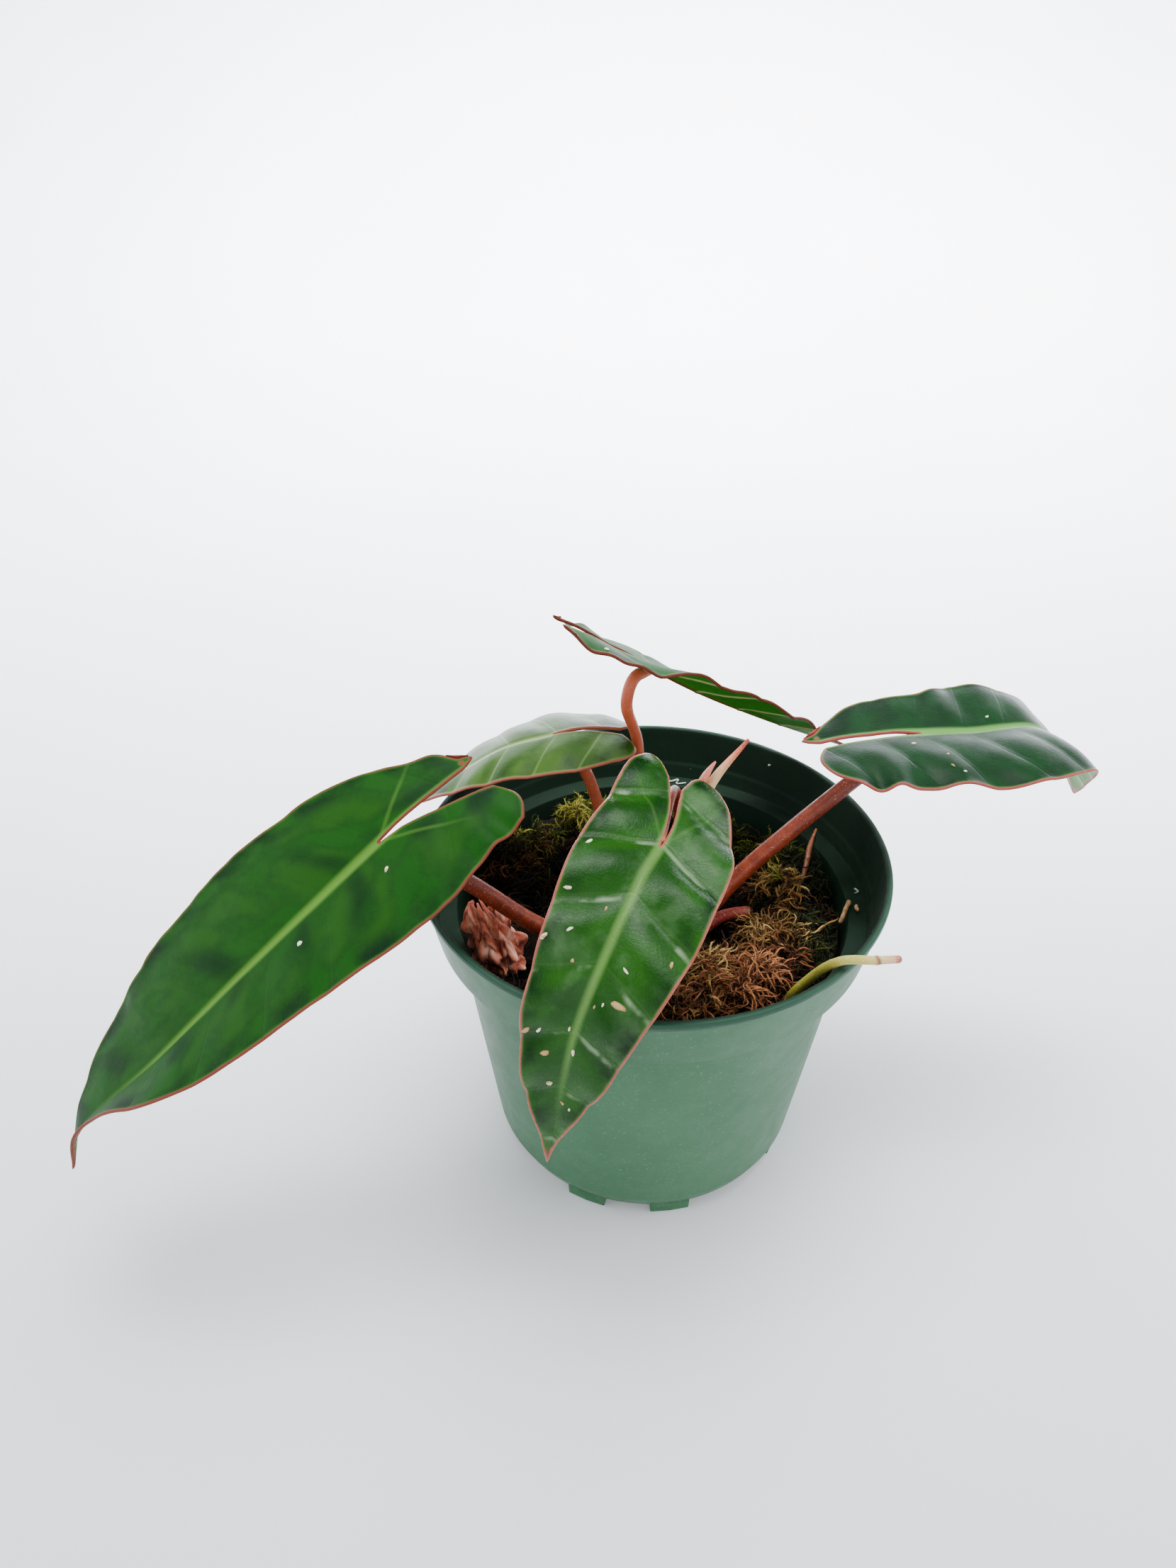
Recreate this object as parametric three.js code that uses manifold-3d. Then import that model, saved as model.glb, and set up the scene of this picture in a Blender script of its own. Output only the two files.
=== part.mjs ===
// A philodendron billietiae in a green plastic grow pot filled with moss.
// Millimetres, +Z up. The origin is on the pot's axis, on the plane that the pot stands on.
// The photographed side is the side of -Y.
import * as THREE from "three";
import { mergeVertices } from "three/addons/utils/BufferGeometryUtils.js";
import Module from "manifold-3d";

const wasm = await Module();
wasm.setup();

// Driving dimensions of the pot
const POT_HEIGHT = 117.4;
const LIP_RADIUS = 76;
const LIP_INNER_RADIUS = 73.8;
const BAND_BOTTOM_Z = 97;
const BAND_BOTTOM_RADIUS = 71.4;
const BODY_TOP_RADIUS = 65.6;
const BODY_BOTTOM_RADIUS = 53.2;
const WALL = 1.3;
const FOOT_HEIGHT = 4.5;
const FOOT_INSET = 1.4;
const FLOOR_INSET = 1.6;
const FLOOR_CURVE_Z = 9.5;
const FOOT_SPAN_DEGREES = 15;
const FOOT_CENTRES_DEGREES = [-20.4, 12.4];
const FOOT_THICKNESS = 2.6;
const PAD_RADIUS = 10;
const DRAIN_HOLE_RADIUS = 4;
const DRAIN_RING_RADIUS = 36;
const DRAIN_HOLES = 8;

// Driving dimensions of the filling
const MOSS_TOP_Z = 89;
const GAP = 0.3;
const MOSS_CLEARANCE = 0.6;
const MOSS_FOOT_CLEARANCE = 1.8;
const CROWN_CENTRE = [2, -12];
const CROWN_RADIUS = 10;
const CROWN_TOP_Z = 95;
const CROWN_FOOT_Z = 66;

// Driving dimensions of the leaves
const BLADE_THICKNESS = 0.8;
const RIB_HEIGHT = 0.7;
const RIB_WIDTH = 2.2;
const ROWS_PER_STATION = 2;
const COLUMNS = 4;
const LOBE_RIB_SHARE = 0.4;
const QUILT_FULL_ACROSS = 9;
const WAVE_UNIT_ACROSS = 20;
const LOBE_ROUND_ROWS = 6;
const SHEATH_THICKNESS = 0.7;

const COLOURS = {
  pot: 0x5f8271,
  moss: 0x5a3a1e,
  crown: 0x8a4a34,
  petiole: 0xa8482f,
  bladeDeep: 0x1e6b22,
  bladeBlue: 0x1c5433,
  bladePale: 0x6f9350,
  spear: 0xd9c69a,
  sheath: 0xb23c2a,
  root: 0x8f8a2c,
  husk: 0xc4724a,
};

const group = new THREE.Group();

function addPart(name, geometry, colour, roughness) {
  geometry.deleteAttribute("uv");
  geometry.deleteAttribute("normal");
  const welded = mergeVertices(geometry, 1e-4);
  welded.computeVertexNormals();
  const material = new THREE.MeshStandardMaterial({ color: colour, roughness, metalness: 0 });
  const mesh = new THREE.Mesh(welded, material);
  mesh.name = name;
  group.add(mesh);
  return mesh;
}

// Booleans

function toSolid(geometry) {
  const bare = geometry.clone();
  bare.deleteAttribute("uv");
  bare.deleteAttribute("normal");
  const welded = mergeVertices(bare, 1e-4);
  return new wasm.Manifold(new wasm.Mesh({
    numProp: 3,
    vertProperties: new Float32Array(welded.attributes.position.array),
    triVerts: new Uint32Array(welded.index.array),
  }));
}

function toGeometry(solid) {
  const mesh = solid.getMesh();
  const geometry = new THREE.BufferGeometry();
  geometry.setAttribute("position", new THREE.BufferAttribute(new Float32Array(mesh.vertProperties), 3));
  geometry.setIndex(new THREE.BufferAttribute(new Uint32Array(mesh.triVerts), 1));
  return geometry;
}

function largestBody(solid) {
  return solid.decompose().reduce((best, body) => (body.volume() > best.volume() ? body : best));
}

// Cutters that leave a gap round the edges of a thin sheet as well as over its faces.
function seatCutters(sheet) {
  const seat = toSolid(sheet);
  return [[GAP, 0, 0], [-GAP, 0, 0], [0, GAP, 0], [0, -GAP, 0]].map((shift) => seat.translate(shift));
}

function cut(geometry, cutters) {
  const solid = cutters.reduce((body, cutter) => body.subtract(cutter), toSolid(geometry));
  return toGeometry(largestBody(solid));
}

// Small mathematics

const radians = (degrees) => (degrees * Math.PI) / 180;
const vector = (point) => new THREE.Vector3(...point);

function at(table, where) {
  // Straight-line reading of a table of [where, value] rows.
  if (where <= table[0][0]) return table[0][1];
  for (let i = 1; i < table.length; i += 1) {
    const [x0, y0] = table[i - 1];
    const [x1, y1] = table[i];
    if (where <= x1) return y0 + ((y1 - y0) * (where - x0)) / (x1 - x0);
  }
  return table[table.length - 1][1];
}

function catmullRom(points, t) {
  // Uniform Catmull-Rom curve through rows of numbers, t from 0 to the last row.
  const last = points.length - 1;
  const i = Math.min(Math.floor(t), last - 1);
  const f = t - i;
  const mirror = (a, b) => a.map((value, k) => 2 * value - b[k]);
  const before = i > 0 ? points[i - 1] : mirror(points[0], points[1]);
  const after = i + 2 <= last ? points[i + 2] : mirror(points[last], points[last - 1]);
  return points[i].map((b, k) => {
    const a = before[k];
    const c = points[i + 1][k];
    const d = after[k];
    return 0.5 * (2 * b + (c - a) * f + (2 * a - 5 * b + 4 * c - d) * f * f + (3 * b - a - 3 * c + d) * f ** 3);
  });
}

// A leaf blade. Its midrib runs in space through the spine's points. A place on the blade is given
// by its distance along the midrib from the notch, negative on the two back lobes, and its distance
// across, measured on the blade from the midrib. Each half rises from the midrib by an angle and
// curls by an angle per millimetre.
class Blade {
  constructor(shape) {
    Object.assign(this, shape);
    const steps = 600;
    const last = shape.spine.length - 1;
    this.line = [];
    this.arc = [0];
    for (let i = 0; i <= steps; i += 1) {
      this.line.push(vector(catmullRom(shape.spine, (last * i) / steps)));
      if (i > 0) this.arc.push(this.arc[i - 1] + this.line[i].distanceTo(this.line[i - 1]));
    }
    this.length = this.arc[steps];
  }

  spinePoint(along) {
    const where = Math.min(Math.max(along, 0), this.length);
    let low = 0;
    let high = this.arc.length - 1;
    while (high - low > 1) {
      const middle = (low + high) >> 1;
      if (this.arc[middle] <= where) low = middle;
      else high = middle;
    }
    const f = (where - this.arc[low]) / (this.arc[high] - this.arc[low]);
    return this.line[low].clone().lerp(this.line[high], f);
  }

  frame(along) {
    const base = Math.min(Math.max(along, 0), this.length);
    const reach = 0.5;
    const tangent = this.spinePoint(base + reach).sub(this.spinePoint(base - reach)).normalize();
    const side = tangent.clone().cross(vector(this.up)).normalize();
    const normal = side.clone().cross(tangent);
    side.applyAxisAngle(tangent, -radians(at(this.roll, along)));
    normal.applyAxisAngle(tangent, -radians(at(this.roll, along)));
    const point = this.spinePoint(base);
    const back = Math.min(along, 0);
    const bend = radians(this.lobeBend);
    const turn = radians(this.lobeTurn);
    point.addScaledVector(tangent, Math.sin(bend * back) / bend);
    point.addScaledVector(normal, (1 - Math.cos(bend * back)) / bend);
    point.addScaledVector(side, (1 - Math.cos(turn * back)) / turn);
    normal.applyAxisAngle(side, bend * back);
    return { point, side, normal };
  }

  place(along, across, hand) {
    const { point, side, normal } = this.frame(along);
    const rise = radians(at(hand > 0 ? this.riseRight : this.riseLeft, along));
    const curl = radians(at(hand > 0 ? this.curlRight : this.curlLeft, along));
    const out = (Math.sin(rise + curl * across) - Math.sin(rise)) / curl;
    const up = (Math.cos(rise) - Math.cos(rise + curl * across)) / curl;
    const spread = Math.min(across / QUILT_FULL_ACROSS, 1);
    const vein = Math.abs(Math.sin((Math.PI * (along - this.veinLean * across)) / this.veinPitch));
    const quilt = this.quilt * spread * (vein - 0.5);
    const swing = Math.sin((2 * Math.PI * along) / this.waveLength + hand);
    const wave = this.wave * (across / WAVE_UNIT_ACROSS) ** 2 * swing;
    return point.addScaledVector(side, hand * out).addScaledVector(normal, up + quilt + wave);
  }

  // Rows of places from the lobe's end to the tip: [inner along, inner across, outer along, outer across].
  rows(hand) {
    const { stations } = this;
    const lobe = hand > 0 ? this.lobeRight : this.lobeLeft;
    const margin = hand > 0 ? this.marginRight : this.marginLeft;
    const coarse = [...lobe, ...stations.map((station, i) => [station, 0, ...margin[i]])];
    const count = (coarse.length - 1) * ROWS_PER_STATION;
    const fine = [];
    for (let i = 0; i <= count; i += 1) {
      const t = i / ROWS_PER_STATION;
      const k = Math.min(Math.floor(t), coarse.length - 2);
      const inner = [0, 1].map((j) => THREE.MathUtils.lerp(coarse[k][j], coarse[k + 1][j], t - k));
      const outer = catmullRom(coarse, t).slice(2);
      fine.push([...inner, outer[0], Math.max(outer[1], inner[1])]);
    }
    return fine;
  }

  // The blade as a closed solid. Extra thickness on both faces makes a cutter for what meets it.
  solid(extra = 0) {
    const points = [];
    const ribs = [];
    const triangles = [];
    for (const hand of [1, -1]) {
      const rows = this.rows(hand);
      const first = points.length;
      for (const [i, [innerAlong, innerAcross, outerAlong, outerAcross]] of rows.entries()) {
        const bulge = this.lobeRound * Math.max(1 - i / LOBE_ROUND_ROWS, 0) ** 2;
        for (let j = 0; j <= COLUMNS; j += 1) {
          const f = j / COLUMNS;
          const along = THREE.MathUtils.lerp(innerAlong, outerAlong, f) - bulge * Math.sin(Math.PI * f);
          const across = THREE.MathUtils.lerp(innerAcross, outerAcross, f);
          points.push(this.place(Math.min(along, this.length), across, hand));
          const fade = along < 0 ? LOBE_RIB_SHARE : 1 - along / (this.length * 1.1);
          ribs.push(RIB_HEIGHT * fade * Math.exp(-((across / RIB_WIDTH) ** 2)));
        }
      }
      const half = gridTriangles(rows.length - 1, COLUMNS).map((corner) => first + corner);
      triangles.push(...(hand > 0 ? half : half.reverse()));
    }
    return thicken(points, triangles, ribs.map((rib) => BLADE_THICKNESS + rib), extra);
  }
}

// Two triangles for each cell of a grid of points numbered row by row.
function gridTriangles(rows, columns) {
  const triangles = [];
  const width = columns + 1;
  for (let i = 0; i < rows; i += 1) {
    for (let j = 0; j < columns; j += 1) {
      const a = i * width + j;
      triangles.push(a, a + 1, a + width + 1, a, a + width + 1, a + width);
    }
  }
  return triangles;
}

// A sheet made solid: the same triangles on both faces, joined round the open edge.
function thicken(points, triangles, thickness, extra) {
  const places = new Map();
  const kept = [];
  const depth = [];
  const renumber = points.map((point, i) => {
    const key = point.toArray().map((value) => value.toFixed(3)).join();
    if (!places.has(key)) {
      places.set(key, kept.length);
      kept.push(point);
      depth.push(thickness[i]);
    }
    return places.get(key);
  });
  const faces = [];
  for (let i = 0; i < triangles.length; i += 3) {
    const face = triangles.slice(i, i + 3).map((index) => renumber[index]);
    if (new Set(face).size === 3) faces.push(face);
  }
  const normals = kept.map(() => new THREE.Vector3());
  for (const [a, b, c] of faces) {
    const normal = kept[b].clone().sub(kept[a]).cross(kept[c].clone().sub(kept[a]));
    for (const index of [a, b, c]) normals[index].add(normal);
  }
  normals.forEach((normal) => normal.normalize());
  const top = kept.map((point, i) => point.clone().addScaledVector(normals[i], extra));
  const bottom = kept.map((point, i) => point.clone().addScaledVector(normals[i], -depth[i] - extra));
  const count = kept.length;
  const index = [];
  const edges = new Set(faces.flatMap(([a, b, c]) => [`${a},${b}`, `${b},${c}`, `${c},${a}`]));
  for (const [a, b, c] of faces) {
    index.push(a, b, c, a + count, c + count, b + count);
    for (const [from, to] of [[a, b], [b, c], [c, a]]) {
      if (!edges.has(`${to},${from}`)) index.push(from, from + count, to, to, from + count, to + count);
    }
  }
  const geometry = new THREE.BufferGeometry();
  geometry.setFromPoints([...top, ...bottom]);
  geometry.setIndex(index);
  return geometry;
}

// A round stalk along a curve through points, its radius read from a table over 0 to 1.
function stalk(points, radii, sides = 10, stepLength = 7) {
  const curve = new THREE.CatmullRomCurve3(points.map(vector));
  const steps = Math.ceil(curve.getLength() / stepLength);
  const frames = curve.computeFrenetFrames(steps);
  const positions = [];
  const index = [];
  for (let i = 0; i <= steps; i += 1) {
    const centre = curve.getPointAt(i / steps);
    for (let j = 0; j < sides; j += 1) {
      const angle = (2 * Math.PI * j) / sides;
      const radius = at(radii, i / steps);
      positions.push(centre.clone()
        .addScaledVector(frames.normals[i], radius * Math.cos(angle))
        .addScaledVector(frames.binormals[i], radius * Math.sin(angle)));
    }
  }
  for (let i = 0; i < steps; i += 1) {
    for (let j = 0; j < sides; j += 1) {
      const a = i * sides + j;
      const b = i * sides + ((j + 1) % sides);
      index.push(a, b, b + sides, a, b + sides, a + sides);
    }
  }
  const start = positions.length;
  positions.push(curve.getPointAt(0), curve.getPointAt(1));
  for (let j = 0; j < sides; j += 1) {
    const next = (j + 1) % sides;
    index.push(start, next, j);
    index.push(start + 1, steps * sides + j, steps * sides + next);
  }
  const geometry = new THREE.BufferGeometry();
  geometry.setFromPoints(positions);
  geometry.setIndex(index);
  return geometry;
}

const widen = (radii, extra) => radii.map(([where, radius]) => [where, radius + extra]);

// A turned solid about +Z from a closed profile of [radius, height] points.
function turned(profile, segments) {
  const outline = profile.map(([radius, height]) => new THREE.Vector2(radius, height));
  const geometry = new THREE.LatheGeometry(outline, segments);
  geometry.rotateX(Math.PI / 2);
  return geometry;
}

// Pot

function wallRadius(height) {
  const f = (height - FOOT_HEIGHT) / (BAND_BOTTOM_Z - FOOT_HEIGHT);
  return THREE.MathUtils.lerp(BODY_BOTTOM_RADIUS, BODY_TOP_RADIUS, f);
}

function potShell() {
  const floorTop = FOOT_HEIGHT + WALL;
  const ledgeTop = BAND_BOTTOM_Z + WALL;
  const profile = [
    [0, 0],
    [PAD_RADIUS - 0.6, 0],
    [PAD_RADIUS, FOOT_HEIGHT],
    [BODY_BOTTOM_RADIUS - FLOOR_INSET, FOOT_HEIGHT],
    [wallRadius(FLOOR_CURVE_Z), FLOOR_CURVE_Z],
    [BODY_TOP_RADIUS - 0.4, BAND_BOTTOM_Z - 1],
    [BODY_TOP_RADIUS + 0.6, BAND_BOTTOM_Z],
    [BAND_BOTTOM_RADIUS, BAND_BOTTOM_Z],
    [LIP_RADIUS - 0.6, POT_HEIGHT - 2],
    [LIP_RADIUS, POT_HEIGHT - 1],
    [LIP_RADIUS - 0.3, POT_HEIGHT],
    [LIP_INNER_RADIUS, POT_HEIGHT],
    [LIP_INNER_RADIUS - 0.4, POT_HEIGHT - 3],
    [BAND_BOTTOM_RADIUS + 0.4, ledgeTop + 6],
    [BAND_BOTTOM_RADIUS - 0.2, ledgeTop + 5],
    [BAND_BOTTOM_RADIUS - WALL, ledgeTop],
    [BODY_TOP_RADIUS - WALL, ledgeTop],
    [wallRadius(FLOOR_CURVE_Z) - WALL, FLOOR_CURVE_Z],
    [BODY_BOTTOM_RADIUS - FLOOR_INSET - WALL, floorTop],
    [PAD_RADIUS - WALL, floorTop],
    [0, floorTop],
  ];
  return turned(profile, 56);
}

function foot(centreDegrees) {
  const outer = BODY_BOTTOM_RADIUS - FOOT_INSET;
  const inner = outer - FOOT_THICKNESS;
  const from = radians(centreDegrees - 90 - FOOT_SPAN_DEGREES / 2);
  const to = radians(centreDegrees - 90 + FOOT_SPAN_DEGREES / 2);
  const shape = new THREE.Shape();
  shape.absarc(0, 0, outer, from, to, false);
  shape.absarc(0, 0, inner, to, from, true);
  return new THREE.ExtrudeGeometry(shape, { depth: FOOT_HEIGHT + 0.5, bevelEnabled: false, curveSegments: 4 });
}

function pot() {
  let solid = toSolid(potShell());
  for (let quarter = 0; quarter < 4; quarter += 1) {
    for (const centre of FOOT_CENTRES_DEGREES) solid = solid.add(toSolid(foot(centre + 90 * quarter)));
  }
  for (let i = 0; i < DRAIN_HOLES; i += 1) {
    const angle = (2 * Math.PI * (i + 0.5)) / DRAIN_HOLES;
    const hole = new THREE.CylinderGeometry(DRAIN_HOLE_RADIUS, DRAIN_HOLE_RADIUS, 6, 12);
    hole.rotateX(Math.PI / 2);
    hole.translate(DRAIN_RING_RADIUS * Math.cos(angle), DRAIN_RING_RADIUS * Math.sin(angle), FOOT_HEIGHT + 1);
    solid = solid.subtract(toSolid(hole));
  }
  return toGeometry(solid);
}

// Crown: the short stem from which every leaf stalk grows

function crown(extra = 0) {
  const dome = [0, 22, 45, 67].map((degrees) => [
    (CROWN_RADIUS + extra) * Math.cos(radians(degrees)),
    CROWN_TOP_Z - CROWN_RADIUS * (1 - Math.sin(radians(degrees))) + extra,
  ]);
  const profile = [[0, CROWN_FOOT_Z - extra], [CROWN_RADIUS * 0.8 + extra, CROWN_FOOT_Z - extra], ...dome,
    [0, CROWN_TOP_Z + extra]];
  const geometry = turned(profile, 20);
  geometry.translate(...CROWN_CENTRE, 0);
  return geometry;
}

const CROWN_HEART = [...CROWN_CENTRE, 82];
const crownCutter = toSolid(crown(GAP));

// Leaves. Left and right are the leaf's own, seen from above with its tip pointing away.

const LEAVES = {
  left: {
    colour: COLOURS.bladeDeep,
    spine: [[-80, -34, 143], [-99.5, -49, 128], [-120.5, -62, 110], [-144, -74, 88], [-168, -81.5, 66],
      [-176, -81.5, 45]],
    up: [0, 0, 1],
    roll: [[0, 16], [60, 16], [110, 8], [150, 0]],
    lobeRound: 4,
    lobeBend: -0.55,
    lobeTurn: 0.01,
    riseRight: [[0, 8]],
    riseLeft: [[0, 8], [60, 14], [100, 30], [150, 30]],
    curlRight: [[0, -0.6], [100, -0.2]],
    curlLeft: [[0, -0.6]],
    quilt: 0.9,
    veinPitch: 23,
    veinLean: 0.55,
    wave: 0.5,
    waveLength: 40,
    stations: [0, 12, 28, 46, 66, 86, 104, 120, 134, 150],
    lobeRight: [[-33.5, 1, -34, 5], [-24, 0.6, -29, 11], [-15, 0.5, -20, 15], [-7, 0.4, -10, 21.5]],
    marginRight: [[3, 27], [16, 30], [38, 33], [60, 32], [82, 30.5], [102, 27], [115, 20.5], [126, 12],
      [136, 4.5], [150, 0]],
    lobeLeft: [[-36, 10, -35.5, 25], [-28, 7.5, -27, 26.5], [-18, 4.5, -17, 28], [-8, 1.2, -6, 30]],
    marginLeft: [[6, 30], [20, 28.5], [38, 26], [58, 24], [78, 22.5], [95, 18.5], [108, 11], [120, 5.5],
      [134, 3], [150, 0]],
    stalk: [CROWN_HEART, [-14, -17, 91], [-34, -23, 103], [-57, -29, 126], [-80, -34, 143]],
    stalkRadii: [[0, 3.1], [0.9, 2.6], [1, 2]],
  },
  front: {
    colour: COLOURS.bladeDeep,
    spine: [[2, -38, 150], [-4, -54, 148], [-13, -75, 136], [-19.6, -82.5, 116], [-25, -84, 80], [-27, -84, 66]],
    up: [0, -0.6, 0.8],
    roll: [[0, 0]],
    lobeRound: 3,
    lobeBend: -0.3,
    lobeTurn: 0.9,
    riseRight: [[0, 8]],
    riseLeft: [[0, 8]],
    curlRight: [[0, -0.6]],
    curlLeft: [[0, -0.6]],
    quilt: 1.6,
    veinPitch: 21,
    veinLean: 0.5,
    wave: 0.6,
    waveLength: 30,
    stations: [0, 10, 22, 34, 46, 58, 70, 84, 98, 108, 116.5],
    lobeRight: [[-33, 7, -31.5, 12], [-28, 3.8, -25, 16.5], [-19, 2.8, -15, 19.5], [-9, 1.5, -5, 20.3]],
    marginRight: [[4, 20.9], [14, 21.2], [26, 20], [38, 18.5], [50, 17.2], [62, 15.4], [74, 13.4], [87, 10.5],
      [99, 5.8], [108, 2.8], [116.5, 0]],
    lobeLeft: [[-30, 5, -29.5, 14.5], [-25, 1.5, -22, 16.5], [-17, 0.6, -13, 18.5], [-8, 0.4, -5, 21]],
    marginLeft: [[3, 22], [14, 22.4], [26, 22.4], [38, 21], [50, 18.5], [62, 16], [74, 13.4], [87, 9],
      [98, 4.6], [108, 1.4], [116.5, 0]],
    stalk: [CROWN_HEART, [8, -2, 98], [8, 8, 122], [5.5, -4, 145], [2, -38, 150]],
    stalkRadii: [[0, 2.6], [0.8, 2], [0.92, 1.3], [1, 1.2]],
  },
  backLeft: {
    colour: COLOURS.bladePale,
    spine: [[-34, 20, 148], [-50, 18.5, 143], [-63, 18, 134.5], [-75, 17.5, 126], [-85, 17, 119]],
    up: [0, 0, 1],
    roll: [[0, 0]],
    lobeRound: 5,
    lobeBend: -1.3,
    lobeTurn: 0.01,
    riseRight: [[-22, -10], [0, -2]],
    riseLeft: [[0, 5]],
    curlRight: [[0, -1.2]],
    curlLeft: [[0, -1.2]],
    quilt: 0.7,
    veinPitch: 16,
    veinLean: 0.5,
    wave: 0.5,
    waveLength: 26,
    stations: [0, 10, 20, 30, 39, 47, 54, 59.3],
    lobeRight: [[-22, 1.5, -21, 14], [-15, 1, -14, 19], [-7, 0.6, -5, 21]],
    marginRight: [[3, 21], [12, 20.5], [22, 19], [33, 16], [42, 12], [50, 8], [56, 4], [59.3, 0]],
    lobeLeft: [[-22.5, 2.5, -21.5, 16], [-14, 1.5, -13, 19.5], [-6, 0.8, -4, 19.8]],
    marginLeft: [[3, 19.5], [12, 18.5], [22, 16], [33, 12.5], [42, 9], [50, 5.5], [56, 2.5], [59.3, 0]],
    stalk: [CROWN_HEART, [-9, -2, 94], [-16.5, 18, 111], [-24.5, 22, 134], [-34, 20, 148]],
    stalkRadii: [[0, 2.4], [0.9, 1.9], [1, 1.5]],
  },
  backTall: {
    colour: COLOURS.bladeDeep,
    spine: [[-2, 25, 171], [15, 35, 156.5], [36, 46, 141.5], [54.5, 57, 128.5], [70, 67, 117.5]],
    up: [0.3, 0.47, 0.83],
    roll: [[0, 0]],
    lobeRound: 4,
    lobeBend: 0.05,
    lobeTurn: 0.01,
    riseRight: [[-38, -20], [-16, -10], [-2, 8], [30, 16], [90, 12]],
    riseLeft: [[-35, 6], [0, 12], [90, 12]],
    curlRight: [[0, -0.2]],
    curlLeft: [[0, -0.2]],
    quilt: 1.2,
    veinPitch: 20,
    veinLean: 0.5,
    wave: 0.6,
    waveLength: 27,
    stations: [0, 12, 24, 36, 48, 60, 72, 84, 99],
    lobeRight: [[-39, 3, -40, 9], [-30, 2, -31, 14], [-19, 1.5, -18, 17], [-8, 1, -6, 19]],
    marginRight: [[4, 20], [16, 21], [29, 20.5], [42, 19], [55, 16], [67, 12], [78, 7], [88, 2.5], [99, 0]],
    lobeLeft: [[-34, 6, -35, 10], [-26, 4, -27, 14.5], [-17, 2.5, -16, 17.5], [-8, 1, -6, 19]],
    marginLeft: [[4, 20], [16, 21], [29, 20.5], [42, 19], [55, 16], [67, 12], [78, 7], [88, 2.5], [99, 0]],
    stalk: [CROWN_HEART, [-4, 1, 104], [-6.5, 20, 144], [-10.5, 13.5, 165], [-8.5, 15.5, 172.5], [-2, 25, 171]],
    stalkRadii: [[0, 2.4], [0.6, 1.7], [0.93, 2], [1, 1.4]],
  },
  right: {
    colour: COLOURS.bladeBlue,
    spine: [[84, 28, 149], [103, 34, 147], [125, 44, 143.5], [138, 50, 131], [149, 53.5, 110]],
    up: [0, 0, 1],
    roll: [[0, 0]],
    lobeRound: 5,
    lobeBend: -0.3,
    lobeTurn: 0.01,
    riseRight: [[0, 14], [40, 14], [88, 4]],
    riseLeft: [[-34, 6], [0, 17], [50, 15], [88, 4]],
    curlRight: [[0, -1]],
    curlLeft: [[0, -0.6]],
    quilt: 0.7,
    veinPitch: 17,
    veinLean: 0.4,
    wave: 0.4,
    waveLength: 24,
    stations: [0, 12, 24, 36, 48, 58, 68, 78, 87],
    lobeRight: [[-34, 2, -33, 22], [-25, 1.6, -27, 27], [-15, 1, -15, 29], [-7, 0.6, -5, 29.8]],
    marginRight: [[4, 30], [16, 31], [27, 31], [39, 29], [50, 26], [60, 21], [70, 14], [79, 7], [87, 0]],
    lobeLeft: [[-34, 1.5, -34.5, 6], [-26, 1.5, -27.5, 12], [-17, 1.2, -17, 17], [-8, 1, -7, 18.5]],
    marginLeft: [[4, 19], [14, 22], [25, 24], [36, 22], [47, 19], [57, 16.5], [67, 12.5], [77, 7], [87, 0]],
    stalk: [CROWN_HEART, [13, -6, 91], [27, 3, 105], [45, 12, 120], [66, 21, 136.5], [84, 28, 149]],
    stalkRadii: [[0, 3.2], [0.9, 2.5], [1, 2]],
  },
};

// Small pieces: [points, radii]
const STALKS = {
  new_leaf_spear: {
    points: [CROWN_HEART, [7, -10, 100], [12, -2, 124], [16.5, 4, 141], [27.7, 8, 157]],
    radii: [[0, 2.2], [0.6, 1.9], [0.8, 1.5], [1, 0.5]],
    colour: COLOURS.spear,
  },
  petiole_stub: {
    points: [CROWN_HEART, [13, -4, 83], [24, 3, 88.5], [34.5, 5, 90]],
    radii: [[0, 2.4], [1, 1.9]],
    colour: COLOURS.sheath,
  },
  aerial_root: {
    points: [[41, -36, 82], [43.5, -40.5, 96], [49, -43.3, 108], [55.5, -49.5, 120.4], [64, -52, 123.5],
      [71.5, -50, 122.5]],
    radii: [[0, 1.6], [0.9, 1.5], [1, 0.8]],
    colour: COLOURS.root,
  },
  dried_strand: {
    points: [[42, 10, 84], [50, 14, 95], [54, 28, 101], [57, 38, 101]],
    radii: [[0, 0.9], [1, 0.7]],
    colour: COLOURS.husk,
  },
};

// A dried sheath of a fallen leaf: a curled strip of paper-thin skin, standing in the moss.
const HUSK_LENGTH = 27;
const HUSK_BASE = [-46, -26, 88];
const HUSK_LEAN = [-0.32, 0.12, 0.94];

function driedSheath(extra = 0) {
  const points = [];
  const rows = 10;
  const columns = 10;
  const axis = vector(HUSK_LEAN).normalize();
  const side = new THREE.Vector3(0, 1, 0).cross(axis).normalize();
  const front = axis.clone().cross(side);
  for (let i = 0; i <= rows; i += 1) {
    const f = i / rows;
    const radius = 6 + 2.5 * Math.sin(Math.PI * f) - 2 * f;
    for (let j = 0; j <= columns; j += 1) {
      const angle = radians(-190 + 215 * (j / columns) + 25 * f);
      const crumple = 1 + 0.08 * Math.sin(9 * f + 4 * angle);
      points.push(vector(HUSK_BASE)
        .addScaledVector(axis, HUSK_LENGTH * f)
        .addScaledVector(side, radius * crumple * Math.cos(angle))
        .addScaledVector(front, radius * crumple * Math.sin(angle)));
    }
  }
  return thicken(points, gridTriangles(rows, columns), points.map(() => SHEATH_THICKNESS), extra);
}

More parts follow.
